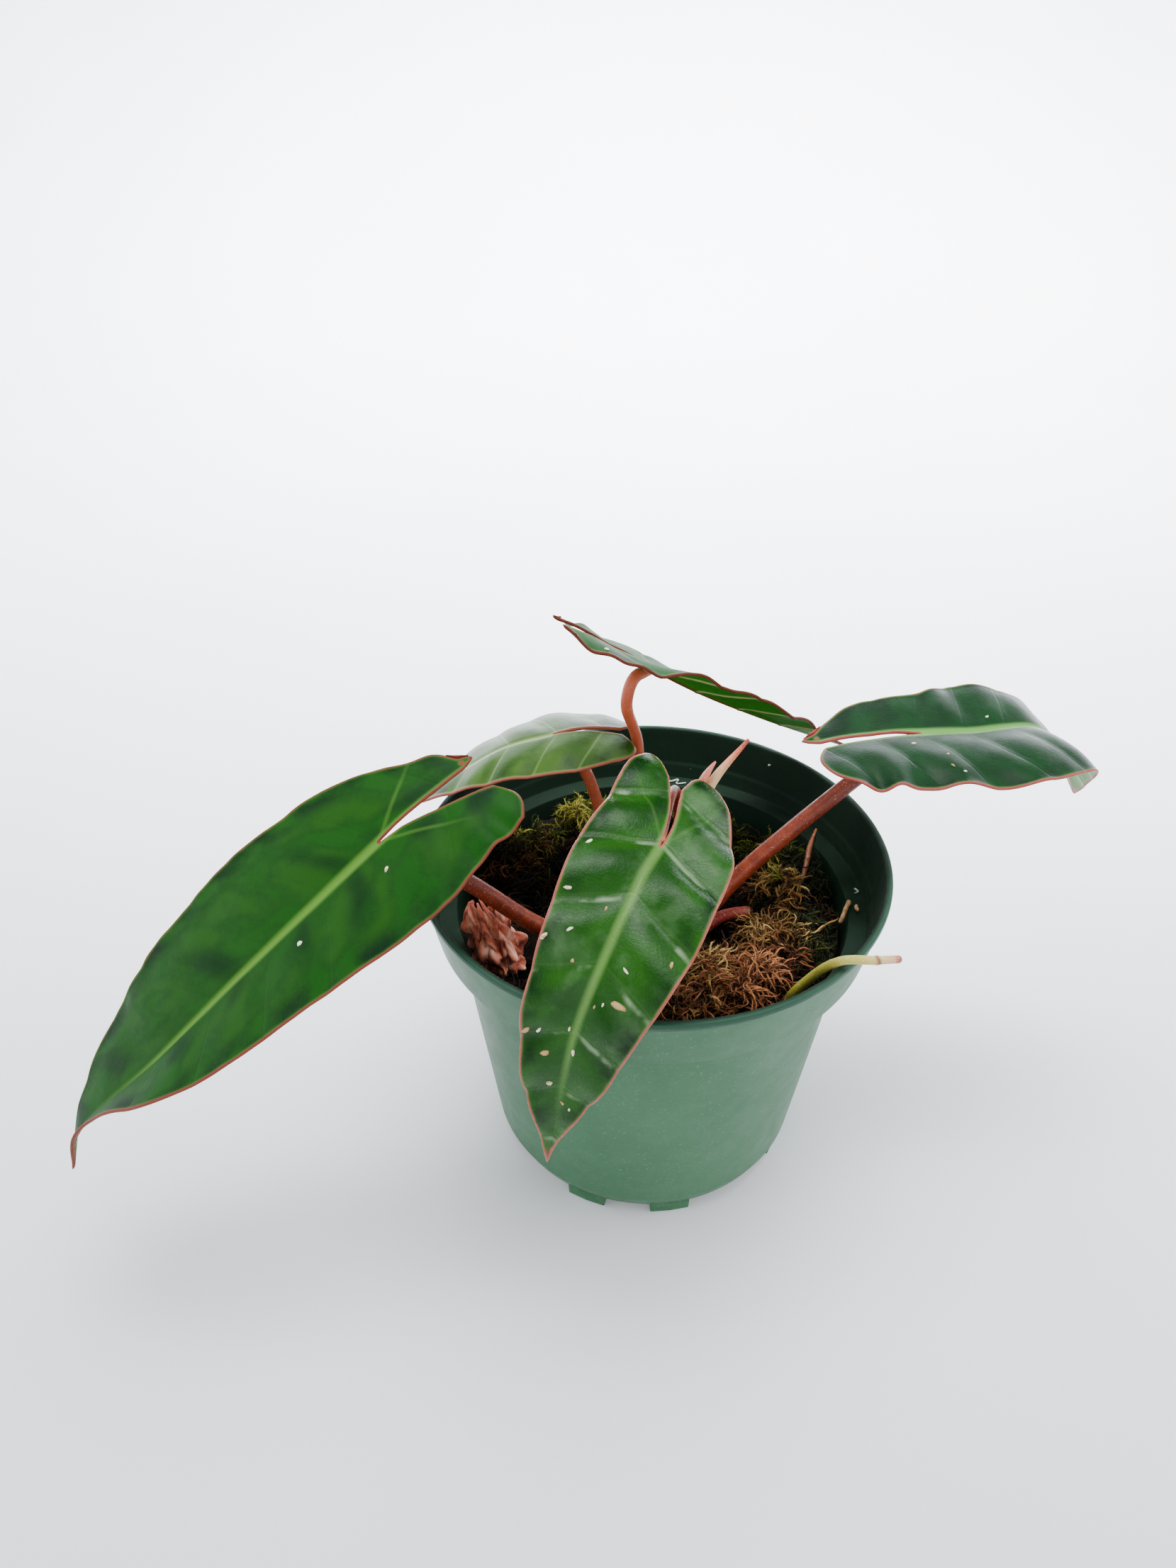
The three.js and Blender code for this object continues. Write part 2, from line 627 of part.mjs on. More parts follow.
// The red sheath round the foot of the new leaf: a half tube that runs to a point.
function spearSheath() {
  const points = [];
  const rows = 12;
  const columns = 6;
  const curve = new THREE.CatmullRomCurve3(STALKS.new_leaf_spear.points.map(vector));
  const [from, to] = [0.3, 0.86];
  const radius = 3.2;
  for (let i = 0; i <= rows; i += 1) {
    const f = i / rows;
    const centre = curve.getPointAt(THREE.MathUtils.lerp(from, to, f));
    const along = curve.getTangentAt(THREE.MathUtils.lerp(from, to, f));
    const side = new THREE.Vector3(-1, -0.4, 0).cross(along).normalize();
    const front = along.clone().cross(side);
    const spread = 80 * (1 - f ** 3) + 6;
    for (let j = 0; j <= columns; j += 1) {
      const angle = radians(90 + spread * ((2 * j) / columns - 1));
      points.push(centre.clone()
        .addScaledVector(side, (radius + 0.8 * f) * Math.cos(angle))
        .addScaledVector(front, (radius + 0.8 * f) * Math.sin(angle)));
    }
  }
  return thicken(points, gridTriangles(rows, columns), points.map(() => SHEATH_THICKNESS), 0);
}

// Moss filling. Clumps: [x, y, height, radius]
const CLUMPS = [[-30, 44, 7, 20], [-8, 52, 5, 16], [28, 40, 6, 18], [50, 22, 6, 16], [46, -8, 7, 17], [30, -36, 8, 15],
  [8, -44, 6, 15], [-22, -46, 5, 16], [-46, -6, 5, 18], [-50, 24, 6, 14], [16, 12, -5, 14], [-20, 6, -4, 14],
  [56, -28, 5, 12]];

function mossTop(x, y) {
  const lumps = CLUMPS.reduce((sum, [cx, cy, height, radius]) => (
    sum + height * Math.exp(-((x - cx) ** 2 + (y - cy) ** 2) / (radius * radius * 0.5))), 0);
  const crumbs = 1.3 * Math.sin(x * 0.47 + 1.2 * Math.sin(y * 0.31)) * Math.sin(y * 0.43 + 0.9);
  return MOSS_TOP_Z - 2 + lumps + crumbs;
}

function moss(cutters) {
  const rings = 15;
  const spokes = 48;
  const topRadius = wallRadius(MOSS_TOP_Z) - WALL - MOSS_CLEARANCE;
  const bottomZ = FOOT_HEIGHT + WALL + GAP;
  const bottomRadius = wallRadius(bottomZ) - WALL - MOSS_FOOT_CLEARANCE;
  const points = [new THREE.Vector3(0, 0, mossTop(0, 0)), new THREE.Vector3(0, 0, bottomZ)];
  const index = [];
  for (let i = 1; i <= rings + 1; i += 1) {
    for (let j = 0; j < spokes; j += 1) {
      const angle = (2 * Math.PI * j) / spokes;
      const radius = i > rings ? bottomRadius : (topRadius * i) / rings;
      const [x, y] = [radius * Math.cos(angle), radius * Math.sin(angle)];
      points.push(new THREE.Vector3(x, y, i > rings ? bottomZ : mossTop(x, y)));
    }
  }
  for (let j = 0; j < spokes; j += 1) {
    const next = (j + 1) % spokes;
    index.push(0, 2 + j, 2 + next);
    for (let i = 0; i < rings; i += 1) {
      const a = 2 + i * spokes + j;
      const b = 2 + i * spokes + next;
      index.push(a, a + spokes, b + spokes, a, b + spokes, b);
    }
    index.push(1, 2 + rings * spokes + next, 2 + rings * spokes + j);
  }
  const geometry = new THREE.BufferGeometry();
  geometry.setFromPoints(points);
  geometry.setIndex(index);
  return cut(geometry, cutters);
}

// Assembly

addPart("pot", pot(), COLOURS.pot, 0.45);
addPart("crown", crown(), COLOURS.crown, 0.6);
const mossCutters = [crownCutter];

for (const [name, shape] of Object.entries(LEAVES)) {
  const blade = new Blade(shape);
  addPart(`blade_${name}`, blade.solid(), shape.colour, 0.35);
  const stem = stalk(shape.stalk, shape.stalkRadii);
  mossCutters.push(toSolid(stalk(shape.stalk, widen(shape.stalkRadii, GAP))));
  addPart(`petiole_${name}`, cut(stem, [crownCutter, ...seatCutters(blade.solid(GAP))]), COLOURS.petiole, 0.45);
}

for (const [name, { points, radii, colour }] of Object.entries(STALKS)) {
  addPart(name, cut(stalk(points, radii, 8, 4), [crownCutter]), colour, 0.5);
  mossCutters.push(toSolid(stalk(points, widen(radii, GAP), 8, 4)));
}

addPart("spear_sheath", spearSheath(), COLOURS.sheath, 0.5);
addPart("dried_sheath", driedSheath(), COLOURS.husk, 0.8);
mossCutters.push(...seatCutters(driedSheath(GAP)));
addPart("moss", moss(mossCutters), COLOURS.moss, 0.95);

export default group;
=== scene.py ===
import math

import bmesh
import bpy
import numpy as np
from mathutils import Matrix, Vector


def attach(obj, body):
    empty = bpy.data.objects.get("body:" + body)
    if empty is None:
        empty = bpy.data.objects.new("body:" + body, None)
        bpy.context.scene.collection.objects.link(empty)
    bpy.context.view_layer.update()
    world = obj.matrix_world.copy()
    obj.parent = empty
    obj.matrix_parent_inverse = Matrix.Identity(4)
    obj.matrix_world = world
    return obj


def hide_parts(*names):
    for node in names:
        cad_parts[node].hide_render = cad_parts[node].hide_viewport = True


# A philodendron billietiae in a green grow pot filled with moss.
# Shapes are worked out in millimetres, as in the CAD, and put into the meshes in metres.
# The origin is on the pot's axis at the plane that it stands on, +Z is up, the photographed side is -Y.

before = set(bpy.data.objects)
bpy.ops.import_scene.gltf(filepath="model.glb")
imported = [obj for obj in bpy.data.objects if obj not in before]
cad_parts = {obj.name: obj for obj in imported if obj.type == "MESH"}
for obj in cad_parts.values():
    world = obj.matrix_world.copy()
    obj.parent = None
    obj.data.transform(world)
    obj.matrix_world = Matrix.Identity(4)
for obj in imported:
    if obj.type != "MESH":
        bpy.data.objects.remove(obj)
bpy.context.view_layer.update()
MM = 0.001
GOLDEN_ANGLE = math.radians(137.5)
COAT_ROUGHNESS = 0.35

# Camera

CAMERA_PLACE = (0, -0.30587, 0.36003)
CAMERA_TURN = (-0.0698, 0.6162, 0.0052)
CAMERA_LENS = 27.67


def place_camera():
    """A camera in front of the plant, above it, turned by pan, pitch and roll angles in radians."""
    pan, pitch, roll = CAMERA_TURN
    ahead = Vector((math.sin(pan) * math.cos(pitch), math.cos(pan) * math.cos(pitch), -math.sin(pitch)))
    level = Vector((math.cos(pan), -math.sin(pan), 0))
    upright = level.cross(ahead)
    right = math.cos(roll) * level + math.sin(roll) * upright
    up = math.cos(roll) * upright - math.sin(roll) * level
    data = bpy.data.cameras.new("camera")
    data.sensor_fit = "VERTICAL"
    data.sensor_height = 36
    data.lens = CAMERA_LENS
    camera = bpy.data.objects.new("camera", data)
    camera.matrix_world = Matrix.Translation(CAMERA_PLACE) @ Matrix((right, up, -ahead)).transposed().to_4x4()
    bpy.context.scene.collection.objects.link(camera)
    bpy.context.scene.camera = camera


place_camera()

# Meshes


def grid_faces(rows, columns, wrap=False, first=0):
    """Four-sided faces of a grid of points numbered row by row. With wrap, the last column joins the first."""
    i, j = np.meshgrid(np.arange(rows - 1), np.arange(columns if wrap else columns - 1), indexing="ij")
    a = i * columns + j
    b = i * columns + (j + 1) % columns
    return first + np.stack([a, b, b + columns, a + columns], -1).reshape(-1, 4)


def fan_faces(pole, ring, outward=True):
    """Triangles from one pole point to a closed ring of points."""
    following = np.roll(ring, -1)
    poles = np.full_like(ring, pole)
    order = [poles, ring, following] if outward else [poles, following, ring]
    return np.stack(order, -1)


def capped(rings, first, last, outward=True):
    """Points and faces of a closed form: rings of points one after another, and a pole point past each end."""
    count, sides = rings.shape[:2]
    points = np.vstack([rings.reshape(-1, 3), [first], [last]])
    ring = np.arange(sides)
    quads = grid_faces(count, sides, wrap=True)
    return points, [quads if outward else quads[:, ::-1], fan_faces(len(points) - 2, ring, not outward),
                    fan_faces(len(points) - 1, ring + (count - 1) * sides, outward)]


def turns(count):
    """Even angles round a full circle."""
    return 2 * np.pi * np.arange(count) / count


def polar(radius, angle, *height):
    """Points by their distance from the z axis, their angle round it and, if given, their height."""
    return np.stack(np.broadcast_arrays(radius * np.cos(angle), radius * np.sin(angle), *height), -1)


def round_about(centre, side, front, radius, angle):
    """Points at a radius and an angle round centres: centre + side x cosine + front x sine."""
    return centre + side * (radius * np.cos(angle))[..., None] + front * (radius * np.sin(angle))[..., None]


def make_piece(name, points, faces, finish, nodes=(), values=None, weld=False):
    """A smooth mesh from millimetre points and a list of face arrays, riding on the root body.

    Each entry of values becomes a number per point that the materials read by its name."""
    mesh = bpy.data.meshes.new(name)
    mesh.vertices.add(len(points))
    mesh.vertices.foreach_set("co", (np.asarray(points, float) * MM).astype(np.float32).ravel())
    corners = np.concatenate([part.ravel() for part in faces])
    sizes = np.concatenate([np.full(len(part), part.shape[1]) for part in faces])
    mesh.loops.add(len(corners))
    mesh.loops.foreach_set("vertex_index", corners.astype(np.int32))
    mesh.polygons.add(len(sizes))
    starts = np.concatenate([[0], np.cumsum(sizes)[:-1]])
    mesh.polygons.foreach_set("loop_start", starts.astype(np.int32))
    mesh.polygons.foreach_set("use_smooth", np.ones(len(sizes), bool))
    for key, numbers in (values or {}).items():
        layer = mesh.attributes.new(key, "FLOAT", "POINT")
        layer.data.foreach_set("value", np.asarray(numbers, float).astype(np.float32).ravel())
    mesh.update(calc_edges=True)
    if weld:
        shell = bmesh.new()
        shell.from_mesh(mesh)
        bmesh.ops.remove_doubles(shell, verts=shell.verts, dist=0.01 * MM)
        bmesh.ops.dissolve_degenerate(shell, edges=shell.edges, dist=0.002 * MM)
        shell.to_mesh(mesh)
        shell.free()
    mesh.validate()
    mesh.materials.append(finish)
    piece = bpy.data.objects.new(name, mesh)
    bpy.context.scene.collection.objects.link(piece)
    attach(piece, "root")
    if nodes:
        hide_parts(*nodes)
    return piece


def unit(vectors):
    """Vectors divided by their lengths."""
    return vectors / np.maximum(np.linalg.norm(vectors, axis=-1, keepdims=True), 1e-12)


def between(where, places, rows):
    """Straight-line reading of rows of numbers that stand at these places."""
    return np.stack([np.interp(where, places, column) for column in rows.T], -1)


def read(table, where):
    """Straight-line reading of a table of (where, value) rows."""
    rows = np.asarray(table, float)
    return np.interp(where, rows[:, 0], rows[:, 1])


def catmull_rom(points, t):
    """Uniform Catmull-Rom curve through rows of numbers, t from 0 to the last row's number."""
    rows = np.asarray(points, float)
    rows = np.vstack([2 * rows[0] - rows[1], rows, 2 * rows[-1] - rows[-2]])
    i = np.clip(np.floor(t).astype(int), 0, len(points) - 2)
    f = (t - i)[..., None]
    a, b, c, d = rows[i], rows[i + 1], rows[i + 2], rows[i + 3]
    return 0.5 * (2 * b + (c - a) * f + (2 * a - 5 * b + 4 * c - d) * f**2 + (3 * b - a - 3 * c + d) * f**3)


def smooth_path(points, count, keep=(0, 1)):
    """Points at even distances on a centripetal Catmull-Rom curve, between two shares of its length.

    Between knots it is a cubic whose end slopes are the centripetal ones: knots are spaced by the square
    root of their distance."""
    rows = np.asarray(points, float)
    rows = np.vstack([2 * rows[0] - rows[1], rows, 2 * rows[-1] - rows[-2]])
    gap = np.sqrt(np.linalg.norm(np.diff(rows, axis=0), axis=1))[:, None]
    step = np.diff(rows, axis=0)
    slope = (step[:-1] / gap[:-1] - (step[:-1] + step[1:]) / (gap[:-1] + gap[1:]) + step[1:] / gap[1:])
    t = np.linspace(0, len(points) - 1, 60 * (len(points) - 1) + 1)
    i = np.clip(np.floor(t).astype(int), 0, len(points) - 2)
    f = (t - i)[:, None]
    start, end = rows[1:-1][i], rows[1:-1][i + 1]
    leave, arrive = (slope * gap[1:])[i], (slope[1:] * gap[1:-1])[np.minimum(i, len(points) - 2)]
    curve = (start + leave * f + (3 * (end - start) - 2 * leave - arrive) * f**2
             + (2 * (start - end) + leave + arrive) * f**3)
    arc = np.concatenate([[0], np.cumsum(np.linalg.norm(np.diff(curve, axis=0), axis=1))])
    wanted = arc[-1] * np.linspace(*keep, count)
    return between(wanted, arc, curve)


def wander(where, seed, size, steps=3):
    """A smooth random-looking height over points: a sum of sine waves in seeded directions, each finer and lower."""
    draw = np.random.default_rng(seed)
    total = np.zeros(np.shape(where)[:-1])
    for octave in range(steps):
        for _ in range(4):
            direction = unit(draw.normal(size=np.shape(where)[-1]))
            phase = draw.uniform(0, 2 * np.pi)
            total += np.sin(where @ direction * 2 * np.pi * 1.9**octave / size + phase) / (4 * 1.6**octave)
    return total


# Materials


def colour(code):
    """A six-figure web colour as linear red, green, blue and alpha."""
    parts = [int(code[k:k + 2], 16) / 255 for k in (0, 2, 4)]
    return [part / 12.92 if part <= 0.04045 else ((part + 0.055) / 1.055) ** 2.4 for part in parts] + [1]


class Finish:
    """One procedural material. Each call adds a node and returns its output, so calls nest like a formula.

    Wherever a call reads a value, that is a number, a web colour or another node's output."""

    def __init__(self, name, roughness=0.5, coat=0, sheen=0, specular=0.5):
        self.material = bpy.data.materials.new(name)
        self.material.use_nodes = True
        self.nodes = self.material.node_tree.nodes
        self.links = self.material.node_tree.links
        self.shader = self.nodes["Principled BSDF"]
        for key, value in (("Roughness", roughness), ("Coat Weight", coat), ("Coat Roughness", COAT_ROUGHNESS),
                           ("Sheen Weight", sheen), ("Specular IOR Level", specular)):
            self.shader.inputs[key].default_value = value

    def feed(self, socket, value):
        """Link another node's output to a socket, or set a number or colour on it. None leaves it alone."""
        if isinstance(value, bpy.types.NodeSocket):
            self.links.new(value, socket)
        elif value is not None:
            socket.default_value = colour(value) if isinstance(value, str) else value

    def add(self, kind, output, inputs=(), **settings):
        """A node of this kind with its settings, its inputs fed by name or number, and one output returned."""
        node = self.nodes.new("ShaderNode" + kind)
        for key, setting in settings.items():
            setattr(node, key, setting)
        for key, value in dict(inputs).items():
            self.feed(node.inputs[key], value)
        return node.outputs[output]

    def value(self, name):
        """The number that the mesh carries per point under this name."""
        return self.add("Attribute", "Fac", attribute_name=name)

    def place(self, scale=(1, 1, 1)):
        """Object coordinates scaled along each axis."""
        return self.add("Mapping", "Vector", {"Scale": scale, "Vector": self.add("TexCoord", "Object")})

    def noise(self, size, detail=3, roughness=0.5, scale=(1, 1, 1)):
        """Noise from 0 to 1 with features of this size in millimetres."""
        return self.add("TexNoise", "Fac", {"Vector": self.place(scale), "Scale": 1 / (size * MM),
                                            "Detail": detail, "Roughness": roughness})

    def streaks(self, first, second, detail=2):
        """Noise from 0 to 1 over two numbers, with features of size 1 in both."""
        where = self.add("CombineXYZ", "Vector", {"X": first, "Y": second})
        return self.add("TexNoise", "Fac", {"Vector": where, "Scale": 1, "Detail": detail})

    def cell_edges(self, size):
        """Distance to the edges of Voronoi cells of this size in millimetres."""
        return self.add("TexVoronoi", "Distance", {"Vector": self.place(), "Scale": 1 / (size * MM)},
                        feature="DISTANCE_TO_EDGE")

    def math(self, operation, *numbers):
        """One step of arithmetic on the numbers."""
        return self.add("Math", 0, dict(enumerate(numbers)), operation=operation)

    def times(self, first, *others):
        """The product of all the numbers."""
        for other in others:
            first = self.math("MULTIPLY", first, other)
        return first

    def plus(self, first, *others):
        """The sum of all the numbers."""
        for other in others:
            first = self.math("ADD", first, other)
        return first

    def minus(self, first, second):
        """The first number less the second."""
        return self.math("SUBTRACT", first, second)

    def fade(self, value, start, end):
        """1 where the value is at start or beyond it, falling smoothly to 0 at end."""
        (low, at_low), (high, at_high) = sorted(((start, 1), (end, 0)))
        return self.add("MapRange", "Result", {"Value": value, "From Min": low, "From Max": high, "To Min": at_low,
                                               "To Max": at_high}, interpolation_type="SMOOTHSTEP")

    def ramp(self, value, *stops):
        """Colours read along a value, from (position, web colour) stops."""
        node = self.nodes.new("ShaderNodeValToRGB")
        self.feed(node.inputs["Fac"], value)
        elements = node.color_ramp.elements
        while len(elements) < len(stops):
            elements.new(0.5)
        for element, (position, code) in zip(elements, stops):
            element.position, element.color = position, colour(code)
        return node.outputs["Color"]

    def mix(self, factor, first, second):
        """Two colours mixed: the first where the factor is 0, the second where it is 1."""
        return self.add("Mix", 2, {0: factor, 6: first, 7: second}, data_type="RGBA")

    def over(self, base, cover, *shares):
        """A base colour, covered by another as far as the product of the shares says."""
        return self.mix(self.times(*shares), base, cover)

    def bump(self, height, distance, strength):
        """A bump of this height in millimetres for a height value of 1."""
        return self.add("Bump", "Normal", {"Height": height, "Distance": distance * MM, "Strength": strength})

    def done(self, base, roughness=None, normal=None):
        """The material, with its colour and, where they vary, its roughness and bump."""
        for key, value in (("Base Color", base), ("Roughness", roughness), ("Normal", normal)):
            self.feed(self.shader.inputs[key], value)
        return self.material


def plastic_finish():
    """Moulded plastic: painted pale outside for the sheen of the bright room, with a fine grain, darker on the lip,
    and painted dark inside for the shade in the pot, where it is rougher.
    """
    f = Finish("pot_plastic", specular=0.22)
    inside = f.value("inside")
    cloud = f.noise(38, detail=4)
    # Painted sheen: the outside is painted paler than the plastic's own dark green, for the light of the bright room
    # on it.
    outer = f.ramp(cloud, (0.3, "2f5a3c"), (0.7, "396346"))
    outer = f.over(outer, "5f8a72", f.fade(f.noise(1.1), 0.72, 0.6), 0.35)
    outer = f.over(outer, "173f2c", f.fade(f.value("lip"), 0.9, 0.1))
    # Painted shade: the inside is painted nearly black green for the shade within the pot.
    inner = f.ramp(cloud, (0.3, "04190d"), (0.7, "062413"))
    rough = f.plus(0.34, f.times(inside, 0.3), f.times(f.noise(6, detail=5), 0.24))
    height = f.plus(f.noise(0.55, detail=2), f.times(f.noise(2.4, detail=2), 0.8))
    return f.done(f.mix(inside, outer, inner), rough, f.bump(height, 0.06, 0.5))


def petiole_finish(name, low, high, tip):
    """Waxy stalk skin: mottled towards the blade, plain at the foot, with fine pale specks and its own tip colour."""
    f = Finish(name, coat=0.05, specular=0.3)
    along = f.value("along")
    skin = f.ramp(f.noise(3.2, detail=5, roughness=0.65), (0.3, low), (0.7, high))
    skin = f.over(skin, low, f.fade(along, 0.95, 0.35))
    skin = f.over(skin, tip, f.fade(along, 1.0, 0.93))
    skin = f.over(skin, "d99a7c", f.fade(f.noise(0.45, detail=1), 0.74, 0.66), 0.45)
    height = f.plus(f.noise(0.5, detail=2), f.noise(2.0))
    rough = f.plus(0.33, f.times(f.noise(1.5), 0.25))
    return f.done(skin, rough, f.bump(height, 0.05, 0.6))


def leaf_finish(name, shape, dark, light, rib, margin, under, rib_width, gloss=0.2, matt=0.4, pale=0.5,
                vein_show=0.1, fresh="3f7a1c", sheen_clouds=0.0, basal=0.0, lens=0.0, glint=0.0):
    """A waxy leaf. The mesh carries the distance along and across the blade and to its margin, its half and face.

    Side veins lie where along - lean x across is a whole number of pitches, a little uneven. Green is streaked,
    fresher at the margin, lighter at the veins and the midrib, darker in the lenses between them, and paled in
    clouds as painted sheen. Painted glints, pale highlights, lie on one side of each vein. Each lobe has one vein.
    The margin is a thin uneven red line, the tip is red, and the back is paler."""
    pitch, lean, length = shape["pitch"], shape["lean"], shape["stations"][-1]
    f = Finish(name, specular=gloss)
    along, across, edge = f.value("along"), f.value("across"), f.value("edge")
    phase = f.plus(f.minus(along, f.times(across, lean)), f.times(f.noise(24, detail=1), 3.0))
    vein = f.math("PINGPONG", phase, pitch / 2)
    fine_vein = f.math("PINGPONG", phase, pitch / 14)
    cloud = f.streaks(f.math("DIVIDE", phase, 0.55 * pitch),
                      f.plus(f.math("DIVIDE", across, 13), f.times(f.value("hand"), 7)), detail=1)
    mottle = f.noise(2.2, detail=4, roughness=0.6)
    green = f.ramp(f.plus(f.times(cloud, 0.85), f.times(mottle, 0.15)), (0.4, dark), (0.6, light))
    green = f.over(green, fresh, f.fade(edge, 9, 2), f.fade(cloud, 0.35, 0.6), 0.35)
    # Painted sheen: pale grey-green clouds painted on the green for soft sheen on the leaf.
    green = f.over(green, "8fae84", f.fade(f.noise(13, roughness=0.6), 0.7, 0.52), sheen_clouds)
    green = f.over(green, light, f.fade(vein, 0.2, pitch * 0.33), pale)
    green = f.over(green, dark, f.fade(vein, pitch * 0.46, pitch * 0.16), f.fade(across, 9, 23),
                   f.fade(f.noise(26, detail=1), 0.55, 0.42), lens)
    green = f.over(green, rib, f.fade(vein, 0.0, 0.8), vein_show)
    # Painted highlight: pale glints on one side of each vein, where the quilted creases would catch the light.
    crease = f.minus(f.math("FLOORED_MODULO", phase, pitch), f.plus(1.2, f.noise(6, detail=2)))
    green = f.over(green, "b4cca8", f.fade(f.math("ABSOLUTE", crease), 0.0, 1.5), f.fade(f.noise(11), 0.62, 0.47),
                   f.fade(across, 17, 24), glint)
    green = f.over(green, light, f.fade(fine_vein, 0.0, 0.35), 0.12)
    rib_half = f.minus(rib_width, f.times(along, 0.8 * rib_width / length))
    on_rib = f.fade(f.minus(across, rib_half), -0.9, 1.1)
    green = f.over(green, light, f.fade(across, 0.5, 6.5), 0.4)
    green = f.over(green, rib, on_rib, f.fade(along, length * 0.5, length * 0.9))
    lobe_vein = f.math("ABSOLUTE", f.plus(across, f.times(along, 0.62)))
    green = f.over(green, rib, f.fade(lobe_vein, 0.0, 1.2), f.fade(along, -1.5, 0.5), f.fade(along, -12, -27), basal)
    back = f.mix(on_rib, f.mix(f.fade(vein, 0.2, 1.1), under, rib), margin)
    body = f.mix(f.value("top"), back, green)
    uneven = f.plus(edge, f.times(f.noise(3.5), -0.5))
    body = f.over(body, rib, f.fade(uneven, 0.1, 1.3), 0.45)
    body = f.over(body, margin, f.fade(uneven, 0.25, 0.7))
    body = f.over(body, margin, f.fade(along, length + 1, length - 9))
    rough = f.plus(matt, f.times(f.noise(5, detail=5, roughness=0.7), 0.2))
    net = f.times(f.fade(f.cell_edges(1.25), 0.0, 0.12), -0.5)
    height = f.plus(net, f.noise(0.7, detail=2), f.times(mottle, 1.5))
    height = f.minus(height, f.times(f.fade(vein, 0.0, 0.9), 1.6))
    return f.done(body, rough, f.bump(height, 0.07, 0.55))


def moss_finish(name, *stops):
    """Damp moss: one colour per strand from its tone, mottled finely, and painted nearly black towards its root as
    the shade down among the strands.
    """
    f = Finish(name, roughness=0.85, sheen=0.05, specular=0.08)
    tone = f.plus(f.times(f.value("tone"), 0.7), f.times(f.noise(1.2, detail=4), 0.3))
    # Painted shade: each strand darkens to nearly black towards its root, where the tuft shades it.
    base = f.over(f.ramp(tone, *stops), "0b0805", f.fade(f.value("along"), 0.05, 0.6), 0.93)
    return f.done(base, None, f.bump(f.noise(0.4), 0.15, 0.7))


def skin_finish(name, first, second, third, size=3.0, roughness=0.5, bump=0.08, coat=0.1):
    """Plant skin mottled between three colours, with specks and a fine wrinkled surface."""
    f = Finish(name, roughness=roughness, coat=coat)
    base = f.ramp(f.noise(size, detail=6, roughness=0.65), (0.3, first), (0.52, second), (0.72, third))
    base = f.over(base, third, f.fade(f.noise(0.5, detail=2), 0.75, 0.62), 0.4)
    rough = f.plus(roughness - 0.1, f.times(f.noise(1.4, detail=4), 0.3))
    return f.done(base, rough, f.bump(f.noise(0.8, detail=5, roughness=0.7), bump, 0.8))


def banded_finish(name, *stops):
    """Plant skin whose colour changes along the piece, with fine mottling and wrinkles."""
    f = Finish(name, coat=0.1)
    along = f.plus(f.value("along"), f.times(f.minus(f.noise(1.5), 0.5), 0.05))
    base = f.over(f.ramp(along, *stops), "fff3d8", f.fade(f.noise(0.6), 0.7, 0.55), 0.25)
    rough = f.plus(0.36, f.times(f.noise(1.4, detail=4), 0.25))
    return f.done(base, rough, f.bump(f.noise(0.7, detail=4), 0.06, 0.7))


# Pot: the CAD's dimensions in millimetres

POT_HEIGHT = 117.4
LIP_RADIUS = 76
LIP_INNER_RADIUS = 73.8
BAND_BOTTOM_Z = 97
BAND_BOTTOM_RADIUS = 71.4
BODY_TOP_RADIUS = 65.6
BODY_BOTTOM_RADIUS = 53.2
WALL = 1.3
FOOT_HEIGHT = 4.5
FOOT_SPAN = math.radians(15)
FOOT_CENTRES = (-20.4, 12.4)
FOOT_THICKNESS = 2.6
PAD_RADIUS = 10
DRAIN_HOLE_RADIUS = 4
DRAIN_RING_RADIUS = 36
DRAIN_HOLES = 8
PAD_TOP_RADIUS = PAD_RADIUS - 0.4
FLOOR_INSET = 1.6
FLOOR_CURVE_Z = 9.5
FLOOR_TOP_Z = FOOT_HEIGHT + WALL
FLOOR_EDGE_RADIUS = 50.4
INNER_FLOOR_RADIUS = FLOOR_EDGE_RADIUS - WALL - 1.5
SEGMENTS = 192


def wall_radius(height):
    """The body's outer radius, a straight taper from its foot to the band."""
    share = (height - FOOT_HEIGHT) / (BAND_BOTTOM_Z - FOOT_HEIGHT)
    return BODY_BOTTOM_RADIUS + (BODY_TOP_RADIUS - BODY_BOTTOM_RADIUS) * share


def rounded(profile, reach, steps=5):
    """An open outline with its inner corners rounded: each becomes a quadratic curve from a point short of the
    corner to one beyond it."""
    rows = np.asarray(profile, float)
    corner = rows[1:-1]
    before, after = rows[:-2] - corner, rows[2:] - corner
    cut_in = np.minimum(reach / np.linalg.norm(before, axis=1), 0.45)[:, None]
    cut_out = np.minimum(reach / np.linalg.norm(after, axis=1), 0.45)[:, None]
    start, end = corner + before * cut_in, corner + after * cut_out
    t = np.linspace(0, 1, steps)[None, :, None]
    curve = (1 - t) ** 2 * start[:, None] + 2 * t * (1 - t) * corner[:, None] + t**2 * end[:, None]
    return np.vstack([rows[:1], curve.reshape(-1, 2), rows[-1:]])


def turned(profile, segments=SEGMENTS, wobble=None):
    """Rings of points: each profile point [radius, height] is carried round the axis. A wobble, a function of
    height and angle, is added to the radius as a share of it."""
    angle = turns(segments)
    radius, height = profile[:, :1], profile[:, 1:]
    if wobble is not None:
        radius = radius * (1 + wobble(height, angle[None]))
    return polar(radius, angle, height)


